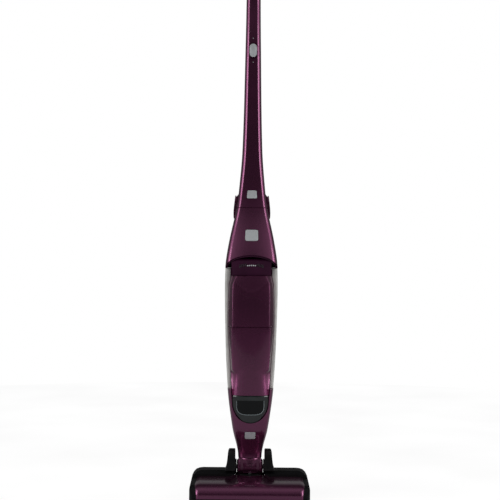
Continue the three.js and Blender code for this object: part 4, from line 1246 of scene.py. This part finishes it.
class HandVacuumBuilder(bpy.types.Operator):
    """Builds the hand vacuum's motor shells, its grip with vents and lamps, and its latches"""

    bl_idname = "vacuum.hand_vacuum"
    bl_label = "Hand vacuum"

    def execute(self, context):
        foot = low("motor_shell_front").z
        split = (high("motor_shell_front").y + low("motor_shell_rear").y) / 2
        for name, side, shift in (
            ("motor_shell_front", "ahead", -GAP / 2), ("motor_shell_rear", "behind", GAP / 2),
        ):
            shell = column(name + "_skin", pod_ring, foot, POD_TOP, rim=1.2 * MM, spacing=4 * MM)
            inner = column("inner", pod_ring, foot + WALL, POD_TOP - WALL, inset=WALL, rim=0)
            tools = [inner]
            if side == "behind":
                tools += [self.latch_space(way, GAP) for way in (-1, 1)]
            carve(shell, *tools)
            halved(shell, side, split + shift)
            dress(shell, "aubergine", "hand_vacuum", [name])
        self.grip()
        self.vents()
        for side, way in SIDES:
            node = f"bin_latch_{side}"
            pad = column(
                "pad", pod_ring, BIN_TOP + 4 * MM, BIN_TOP + 34 * MM, inset=-0.3 * MM, rim=0,
            )
            core = column("core", pod_ring, BIN_TOP, BIN_TOP + 38 * MM, inset=3 * MM, rim=0)
            carve(pad, core)
            carve(pad, self.latch_space(way, 0), how="INTERSECT")
            pad.name = node + "_pad"
            dress(pad, "black_plastic", node, [node])
        node = "hand_power_button"
        key = block("hand_power_key", *ends(node))
        dress(soften(key, 1 * MM), "silver_paint", node, [node])
        return {"FINISHED"}

    def latch_space(self, way, room):
        lowest, highest = ends("bin_latch_right")
        x0, x1 = sorted((way * 40 * MM, way * REACH))
        return block(
            "latch", (x0, lowest.y - room, lowest.z - room),
            (x1, highest.y + room, highest.z + room),
        )

    def grip(self):
        lowest, highest = ends("grip")
        y0, y1, z0, z1 = lowest.y, highest.y, lowest.z, highest.z
        crest = z1 + 6 * MM
        arch = rounded([
            (y0, z0, 0.02), (y1, z0, 0.02), (y1, crest, 0.3), (y0, crest, 0.3),
        ], 10)
        half = pod_half(POD_TOP) - 1.5 * MM
        grip = prism("grip_arch", arch, "x", -half, half)
        thick = 7 * MM
        gap = rounded([
            (y0 + thick, z0 + 3 * MM, 0.1), (y1 - thick, z0 + 3 * MM, 0.1),
            (y1 - thick, z1 - thick, 0.3), (y0 + thick, z1 - thick, 0.3),
        ], 8)
        key = middle("hand_power_button")
        well = block(
            "well", (-8.3 * MM, POD_BACK - 14 * MM, key.z - 6.3 * MM),
            (8.3 * MM, POD_BACK + 1 * MM, key.z + 6.3 * MM),
        )
        carve(grip, prism("gap", gap, "x", -highest.x, highest.x), well)
        across, rise = BODY_HALF - 5.4 * MM, 24.8 * MM
        dome = [(-REACH, POD_TOP - 5 * MM), (REACH, POD_TOP - 5 * MM), (REACH, NECK_FOOT)]
        dome += [(across * c, NECK_FOOT + rise * s) for c, s in arc(40)]
        dome.append((-REACH, NECK_FOOT))
        carve(grip, prism("dome", dome, "y", -REACH, REACH), how="INTERSECT")
        soften(grip, 1.2 * MM)
        # The grip's deep plum is the body colour darkened as painted shade.
        dress(grip, "black_plastic", "hand_vacuum", ["grip"], sharp=50, finish="recess")

    def vents(self):
        """An arc of upright ribs across the grip's front, with three lamps in the middle."""
        y = low("grip").y
        centre_z = low("grip").z + 22 * MM
        count = 13
        for i in range(count):
            across = (i - (count - 1) / 2) / ((count - 1) / 2)
            x = across * 25.5 * MM
            z = centre_z + 3.5 * MM * (1 - across ** 2)
            if abs(across) < 0.4:
                outline = in_mm((0, -1.0), (1.4, -0.7), (1.7, 0.5), (0, 0.5))
                lamp = turned(f"status_lamp_{i}", outline, (x, y, z - 3 * MM), axis="y", sides=20)
                dress(lamp, "smoked_window", "hand_vacuum", finish="lens")
                continue
            rib = block(
                f"vent_rib_{i}", (x - 0.6 * MM, y - 1.1 * MM, z - 5 * MM),
                (x + 0.6 * MM, y + 0.5 * MM, z + 2.5 * MM),
            )
            dress(soften(rib, 0.4 * MM), "black_plastic", "hand_vacuum", finish="smoke_edge")


class DustBinBuilder(bpy.types.Operator):
    """Builds the dust bin's coloured shell and its smoked window with its border and bead"""

    bl_idname = "vacuum.dust_bin"
    bl_label = "Dust bin"

    def execute(self, context):
        divide = high("bin_window").y
        shell = self.bin_body("dust_bin_shell", 0)
        window_space = block(
            "window", (-REACH, -REACH, 0), (REACH, divide + GAP, WINDOW_TOP + GAP),
        )
        carve(shell, self.bin_body("inner", WALL), window_space, self.mouth())
        dress(shell, "aubergine", "dust_bin", ["bin_shell"])
        window = self.bin_body("dust_bin_window", 0)
        carve(window, self.bin_body("inner", WALL), self.mouth())
        keep = block("keep", (-REACH, -REACH, 0), (REACH, divide, WINDOW_TOP))
        carve(window, keep, how="INTERSECT")
        dress(window, "smoked_window", "dust_bin", ["bin_window"])
        self.window_border(divide)
        self.window_bead()
        return {"FINISHED"}

    def bin_body(self, name, inset):
        """The bin's whole skin, down to its U-shaped lower edge."""
        top = BIN_TOP if not inset else BIN_TOP + 5 * MM
        body = column(name, pod_ring, RIM - 4 * MM, top, inset=inset, rim=0, spacing=3 * MM)
        return carve(body, self.above_rim(inset), how="INTERSECT")

    def above_rim(self, inset):
        shoulder = RIM + RIM_RISE
        points = rim_outline(inset) + [
            (REACH, shoulder), (REACH, 1), (-REACH, 1), (-REACH, shoulder),
        ]
        return prism("rim", points, "y", -REACH, REACH)

    def mouth(self):
        return prism("mouth", circle(DUCT_RADIUS, MOUTH_SPOT), "z", RIM - 30 * MM, RIM + 30 * MM)

    def pane_outline(self, grow=0.0):
        """The window's inner pane: level along the top, a deep round U below."""
        half, shoulder, fall = 31 * MM + grow, RIM + 38 * MM, 20 * MM + grow
        points = []
        for across, down in arc(32, start=1):
            x = math.copysign(half * abs(across) ** 0.55, across)
            points.append((x, shoulder - fall * abs(down) ** 0.8))
        top = WINDOW_TOP - 11 * MM + grow
        return points + [(half, top), (-half, top)]

    def window_border(self, divide):
        """The paler thick border round the window's inner pane, standing just proud of it."""
        border = column(
            "window_border", pod_ring, RIM - 4 * MM, WINDOW_TOP, inset=-0.7 * MM, rim=0,
            spacing=3 * MM,
        )
        core = column(
            "core", pod_ring, RIM - 6 * MM, BIN_TOP, inset=0.4 * MM, rim=0, spacing=3 * MM,
        )
        pane = prism("pane", self.pane_outline(), "y", -REACH, REACH)
        carve(border, self.above_rim(1.6 * MM), how="INTERSECT")
        keep = block("keep", (-REACH, -REACH, 0), (REACH, divide, WINDOW_TOP - 0.6 * MM))
        carve(border, keep, how="INTERSECT")
        carve(border, core, pane)
        soften(border, 0.3 * MM, angle=50, segments=2)
        dress(border, "smoked_window", "dust_bin", sharp=50, finish="smoke_edge")

    def window_bead(self):
        """The bead moulded round the pane's U, as a swept round line; its pale grey is a painted
        highlight.
        """
        path = self.pane_outline(-0.6 * MM)
        path = [path[-1], *path[:-2], path[-2]]
        curve = bpy.data.curves.new("window_bead", "CURVE")
        curve.dimensions = "3D"
        curve.bevel_depth = 0.9 * MM
        curve.bevel_resolution = 3
        spline = curve.splines.new("POLY")
        spline.points.add(len(path) - 1)
        for point, (x, z) in zip(spline.points, path):
            point.co = (x, self.window_face(x, z) + 0.1 * MM, z, 1)
        painted_highlight_bead = bpy.data.objects.new("window_bead", curve)
        bpy.context.scene.collection.objects.link(painted_highlight_bead)
        graph = bpy.context.evaluated_depsgraph_get()
        mesh = bpy.data.meshes.new_from_object(painted_highlight_bead.evaluated_get(graph))
        bpy.data.objects.remove(painted_highlight_bead)
        piece = bpy.data.objects.new("window_bead", mesh)
        bpy.context.scene.collection.objects.link(piece)
        dress(piece, "smoked_window", "dust_bin", finish="painted_highlight_bead")

    def window_face(self, x, z):
        """The depth of the window's face at a point, from the section that makes it."""
        ring = [p for p in pod_ring(z, 0) if p.y < 0.5 * POD_BACK]
        ring.sort(key=lambda p: p.x)
        for before, after in zip(ring, ring[1:]):
            if before.x <= x <= after.x and after.x > before.x:
                share = (x - before.x) / (after.x - before.x)
                return before.y + share * (after.y - before.y)
        return ring[0].y


class KnuckleBuilder(bpy.types.Operator):
    """Builds the knuckle, its screw and spigot, the saucer and the two yoke arms"""

    bl_idname = "vacuum.knuckle"
    bl_label = "Knuckle and yoke"

    def execute(self, context):
        self.knuckle()
        self.saucer()
        for side, way in SIDES:
            self.yoke(side, way)
            node = f"pivot_pin_{side}"
            rod = pin(node + "_rod", 5 * MM, 6 * MM, middle(node))
            dress(rod, "steel", "floor_nozzle", [node])
        spot = middle("knuckle_screw")
        head = in_mm((0, -1.5), (2.6, -1.3), (3, -0.6), (3, 1.5), (0, 1.5))
        screw = turned("knuckle_screw_head", head, spot, axis="y", sides=32)
        slot = block(
            "slot", (-3 * MM, spot.y - 2 * MM, spot.z - 0.4 * MM),
            (3 * MM, spot.y - 0.7 * MM, spot.z + 0.4 * MM),
        )
        carve(screw, slot)
        dress(screw, "steel", "knuckle", ["knuckle_screw"])
        lowest, highest = ends("swivel_spigot")
        tall = (highest.z - lowest.z) / 2
        ring = [
            (10 * MM, -tall), (15 * MM, -tall), (15 * MM, tall - 1.5 * MM), (13.5 * MM, tall),
            (10 * MM, tall),
        ]
        spigot = turned("swivel_spigot_tube", ring, middle("swivel_spigot"))
        dress(spigot, "black_plastic", "swivel", ["swivel_spigot"])
        return {"FINISHED"}

    def knuckle(self):
        highest = high("knuckle")
        half = highest.x
        edge = 3 * MM
        outline = [
            (0, -half), (15 * MM, -half), (18 * MM, -half + edge), (18 * MM, half - edge),
            (15 * MM, half), (0, half),
        ]
        knuckle = turned("knuckle_body", outline, PIVOT_CENTRE, axis="x")
        neck = prism("neck", [
            (STICK_Y - 18 * MM, PIVOT.z), (STICK_Y + 18 * MM, PIVOT.z),
            (STICK_Y + 19 * MM, highest.z), (STICK_Y - 19 * MM, highest.z),
        ], "x", -half + 4 * MM, half - 4 * MM)
        soften(neck, 2 * MM)
        top = prism("top", circle(26 * MM, (0, STICK_Y)), "z", highest.z - 5 * MM, highest.z)
        soften(top, 1 * MM, segments=2)
        carve(knuckle, neck, top, how="UNION")
        tools = [
            block(
                "slot", (way * 18 * MM - 3 * MM, -REACH, PIVOT.z - 6 * MM),
                (way * 18 * MM + 3 * MM, STICK_Y - 13 * MM, highest.z - 6 * MM),
            )
            for way in (-1, 1)
        ]
        tools += [
            block(
                "recess", (-6.5 * MM, -REACH, PIVOT.z + 2 * MM),
                (6.5 * MM, STICK_Y - 15 * MM, highest.z - 8 * MM),
            ),
            block(
                "hollow", (-15 * MM, -REACH, 0), (15 * MM, STICK_Y - 14 * MM, PIVOT.z - 10 * MM),
            ),
            prism("duct", circle(DUCT_RADIUS, (0, STICK_Y)), "z", -REACH, REACH),
            prism("bore", circle(PIVOT_BORE, (PIVOT.y, PIVOT.z)), "x", -REACH, REACH),
        ]
        carve(knuckle, *tools)
        dress(knuckle, "aubergine", "knuckle", ["knuckle"])
        for i in range(3):
            z = PIVOT.z + 4.5 * MM + i * 3.6 * MM
            rib = block(
                f"knuckle_rib_{i}", (-5.6 * MM, STICK_Y - 18 * MM, z),
                (5.6 * MM, STICK_Y - 15.5 * MM, z + 1.5 * MM),
            )
            dress(soften(rib, 0.4 * MM), "aubergine", "knuckle")

    def saucer(self):
        lowest, highest = ends("saucer")
        radius = highest.x
        z0, z1 = lowest.z, highest.z
        outline = [
            (12 * MM, z0), (radius - 6 * MM, z0), (radius - 1 * MM, z0 + 3 * MM),
            (radius, z1 - 1.2 * MM), (radius - 0.8 * MM, z1 - 0.2 * MM), (radius - 1.6 * MM, z1),
            (radius - 2.6 * MM, z1 - 0.4 * MM), (radius - 8 * MM, z0 + 3 * MM),
            (12 * MM, z0 + 3 * MM),
        ]
        dish = turned("saucer_dish", outline, (0, STICK_Y, 0), sides=96)
        dress(dish, "black_plastic", "floor_nozzle", ["saucer"], sharp=50)

    def yoke(self, side, way):
        """An arm beside the knuckle, flaring into the deck; the left one is turned over."""
        lowest, highest = ends("yoke_right")
        inner, outer = lowest.x, highest.x
        z0, z1 = lowest.z, highest.z
        crest = outer - 5.5 * MM
        face = rounded([
            (inner, z0, 0.02), (outer, z0, 0.02), (crest + 2 * MM, z0 + 9 * MM, 0.5),
            (crest - 1.5 * MM, z1, 0.3), (inner, z1, 0.15),
        ], 8)
        arm = prism(f"yoke_{side}_arm", face, "y", lowest.y, highest.y)
        y0, y1 = lowest.y, highest.y
        side_view = rounded([
            (y0, z0, 0.02), (y0, z0 + 8 * MM, 0.4), (STICK_Y - 15 * MM, z1, 0.4),
            (STICK_Y + 14 * MM, z1, 0.4), (y1, z0 + 10 * MM, 0.4), (y1, z0, 0.02),
        ], 8)
        carve(arm, prism("side", side_view, "x", 0, REACH), how="INTERSECT")
        pad = prism(
            "pad", circle(17.5 * MM, (PIVOT.y, PIVOT.z), 64), "x", inner - 2.8 * MM, inner + 1 * MM,
        )
        carve(arm, pad, how="UNION")
        bore = prism(
            "bore", circle(PIVOT_BORE, (PIVOT.y, PIVOT.z)), "x", inner - 6 * MM, inner + 6 * MM,
        )
        carve(arm, bore)
        soften(arm, 1.6 * MM, angle=35, segments=3)
        if way < 0:
            turn_over(arm)
        dress(arm, "black_plastic", "floor_nozzle", [f"yoke_{side}"], sharp=50)


class NozzleBuilder(bpy.types.Operator):
    """Builds the floor nozzle's cover, the heel across its channel, its wheels and its brush roll
    """

    bl_idname = "vacuum.nozzle"
    bl_label = "Floor nozzle"
    COLUMNS = 140  # grid columns across the cover
    COVER_THICK = 1.8 * MM
    CORNER = 12 * MM
    NOSE_SHARE = 0.2  # share of the depth that the round nose takes
    NOTCH_RADIUS = 32 * MM
    PANEL_HALF = 34 * MM  # of the raised middle panel at the front
    PANEL_FLARE = 7 * MM  # how much wider it is at the rear
    PANEL_CREASE = 1.1 * MM
    PANEL_RISE = 3.3 * MM
    SIDE_FALL = 4 * MM
    TUFT_WIDTH = 1.5 * MM
    TUFT_ENDS = ((9.5 * MM, 0.7), (15.6 * MM, 1.25))  # radius and spread at root and tip
    ROWS = 4

    def execute(self, context):
        self.cover()
        self.heel()
        self.wheels()
        self.brush()
        return {"FINISHED"}

    def cover(self):
        """A crowned cover: round nose, raised middle panel with creased edges, rear notch."""
        lowest, highest = ends("nozzle_cover")
        half, span = highest.x, highest.y - lowest.y
        notch = self.NOTCH_RADIUS + 1 * MM
        line = self.cover_line(lowest, highest)

        def point(i, row, y, z):
            """Grid point i of a row: past the corners, the notch and the raised panel."""
            t = (y - lowest.y) / span
            x = half * (2 * i / self.COLUMNS - 1)
            into = max(0.0, abs(x) - half + self.CORNER)
            corner = self.CORNER - math.sqrt(self.CORNER ** 2 - into ** 2)
            place = y + corner * max(0.0, 1 - t / self.NOSE_SHARE)
            rear = highest.y
            if abs(x) < notch:
                rear = min(rear, STICK_Y - math.sqrt(notch ** 2 - x * x))
            place = min(place, rear - 0.02 * MM * (len(line) - row))
            panel = self.PANEL_HALF + self.PANEL_FLARE * t
            edge = 1 / (1 + math.exp((abs(x) - panel) / self.PANEL_CREASE))
            hump = self.PANEL_RISE * min(1.0, max(0.0, (t - 0.15) / 0.5)) * edge
            side = self.SIDE_FALL * (into / self.CORNER) ** 2
            height = max(lowest.z, z - side * min(1.0, t / self.NOSE_SHARE) + hump)
            return (x, place, height)

        bm = bmesh.new()
        grid = [
            [bm.verts.new(point(i, row, y, z)) for i in range(self.COLUMNS + 1)]
            for row, (y, z) in enumerate(line)
        ]
        for lower, upper in zip(grid, grid[1:]):
            for i in range(self.COLUMNS):
                bm.faces.new((lower[i], lower[i + 1], upper[i + 1], upper[i]))
        cover = to_object("nozzle_cover_shell", bm)
        thick = cover.modifiers.new("thick", "SOLIDIFY")
        thick.thickness = self.COVER_THICK
        thick.offset = -1
        settle(cover)
        dress(cover, "aubergine", "floor_nozzle", ["nozzle_cover"], sharp=60)

    def cover_line(self, lowest, highest):
        """The cover's side view as (y, z): upright lip, quarter-round nose, level top."""
        crest = highest.z - 3.5 * MM
        lip = lowest.z + 7 * MM
        line = [(lowest.y, lowest.z), (lowest.y, lip)]
        turn = 14
        for i in range(1, turn + 1):
            angle = math.pi / 2 * i / turn
            line.append((
                lowest.y + 30 * MM * (1 - math.cos(angle)),
                lip + (crest - lowest.z - 7.5 * MM) * math.sin(angle),
            ))
        return line + [(y, crest) for y in even(lowest.y + 34 * MM, highest.y, 4 * MM)]

    def heel(self):
        """A low sill across the rear of the channel that the stick lies back into."""
        floor = low("saucer").z - 1 * MM
        heel = block(
            "channel_heel", (-33.6 * MM, 83 * MM, floor), (33.6 * MM, 87 * MM, floor + 10 * MM),
        )
        dress(soften(heel, 1 * MM), "black_plastic", "floor_nozzle", finish="deck")

    def wheels(self):
        for side in ("left", "right"):
            centre = middle(f"wheel_{side}")
            half = 8 * MM
            outline = [
                (2.8 * MM, -half), (10.6 * MM, -half), (12 * MM, -half + 1.6 * MM),
                (12 * MM, half - 1.6 * MM), (10.6 * MM, half), (2.8 * MM, half),
            ]
            tyre = turned(f"wheel_{side}_tyre", outline, centre, axis="x")
            dress(tyre, "rubber", f"wheel_{side}", [f"wheel_{side}"])
            axle = pin(f"wheel_{side}_axle", 2.5 * MM, 13 * MM, centre, sides=24)
            dress(axle, "steel", "floor_nozzle", [f"wheel_axle_{side}"])

    def brush(self):
        """A moulded core with twisting rows of tufts, on its axle and with its belt pulley."""
        lowest, highest = ends("brush_roll")
        centre = (lowest + highest) / 2
        half = highest.x - 2 * MM
        core_left = -half + 12 * MM
        core_right = half - 6 * MM
        pulley = core_left - 7 * MM
        outline = [
            (0, -half), (3 * MM, -half), (3 * MM, pulley), (9 * MM, pulley),
            (9 * MM, core_left - 1 * MM), (10 * MM, core_left), (10 * MM, core_right),
            (3 * MM, core_right), (3 * MM, half), (0, half),
        ]
        core = turned("brush_roll_core", outline, (0, centre.y, centre.z), axis="x", sides=40)
        dress(core, "black_plastic", "brush", ["brush_roll"])
        generator = random.Random(4)
        bm = bmesh.new()
        count = int((core_right - core_left - 8 * MM) / sizes().bristle_width)
        for row in range(self.ROWS):
            for i in range(count):
                x = core_left + 4 * MM + i * sizes().bristle_width
                wobble = generator.uniform(-0.02, 0.02)
                turn = Matrix.Rotation(row * math.pi / 2 + x / (2 * half) * 2 + wobble, 3, "X")
                self.tuft(bm, Vector((x, centre.y, centre.z)), turn)
        bmesh.ops.recalc_face_normals(bm, faces=bm.faces)
        tufts = to_object("brush_roll_tufts", bm)
        dress(tufts, "bristle", "brush")


    def tuft(self, bm, spot, turn):
        """One tapered tuft, standing out from the roll's axis at a spot."""
        loops = []
        for radius, spread in self.TUFT_ENDS:
            reach = self.TUFT_WIDTH * spread
            loop = []
            for u, v in ((-1, -1), (1, -1), (1, 1), (-1, 1)):
                corner = turn @ Vector((0, v * reach, radius)) + Vector((u * reach, 0, 0))
                loop.append(bm.verts.new(spot + corner))
            loops.append(loop)
        for k in range(4):
            m = (k + 1) % 4
            bm.faces.new((loops[0][k], loops[0][m], loops[1][m], loops[1][k]))
        bm.faces.new(loops[1])
        bm.faces.new(loops[0][::-1])


KEPT_FINISH = {"nozzle_base": "deck"}


class KeptPartBuilder(bpy.types.Operator):
    """Finishes the parts whose design shape is kept as it is"""

    bl_idname = "vacuum.kept_parts"
    bl_label = "Inner and kept parts"

    def execute(self, context):
        slots = {s["node"]: s["material_slot"] for s in frame["record"]["subparts"]}
        for name, piece in frame["nodes"].items():
            if piece.hide_render:
                continue
            piece.data.materials.clear()
            piece.data.materials.append(finish_of(KEPT_FINISH.get(name, slots[name])))
            round_edges = piece.modifiers.new("round", "BEVEL")
            round_edges.width = 0.35 * MM
            round_edges.segments = 2
            round_edges.limit_method = "ANGLE"
            round_edges.angle_limit = math.radians(50)
        return {"FINISHED"}


class VacuumPanel(bpy.types.Panel):
    """Lists the steps that build the vacuum"""

    bl_idname = "VIEW3D_PT_vacuum"
    bl_label = "Cordless Stick Vacuum"
    bl_space_type = "VIEW_3D"
    bl_region_type = "UI"
    bl_category = "Vacuum"

    def draw(self, context):
        layout = self.layout
        for group in (context.scene.vacuum_sizes, context.scene.vacuum_colours):
            box = layout.box()
            for name in group.__annotations__:
                box.prop(group, name)
        for builder in BUILDERS:
            layout.operator(builder.bl_idname)


BUILDERS = (
    StageBuilder, HandleBuilder, NeckBuilder, FrameBuilder, HandVacuumBuilder, DustBinBuilder,
    KnuckleBuilder, NozzleBuilder, KeptPartBuilder,
)
CLASSES = (VacuumSizes, VacuumColours, *BUILDERS, VacuumPanel)


def register():
    for kind in CLASSES:
        bpy.utils.register_class(kind)
    bpy.types.Scene.vacuum_sizes = bpy.props.PointerProperty(type=VacuumSizes)
    bpy.types.Scene.vacuum_colours = bpy.props.PointerProperty(type=VacuumColours)


def unregister():
    del bpy.types.Scene.vacuum_colours
    del bpy.types.Scene.vacuum_sizes
    for kind in reversed(CLASSES):
        bpy.utils.unregister_class(kind)


def main():
    register()
    bpy.ops.vacuum.stage()
    bpy.ops.vacuum.handle()
    bpy.ops.vacuum.neck()
    bpy.ops.vacuum.frame()
    bpy.ops.vacuum.hand_vacuum()
    bpy.ops.vacuum.dust_bin()
    bpy.ops.vacuum.knuckle()
    bpy.ops.vacuum.nozzle()
    bpy.ops.vacuum.kept_parts()


if __name__ == "__main__":
    main()
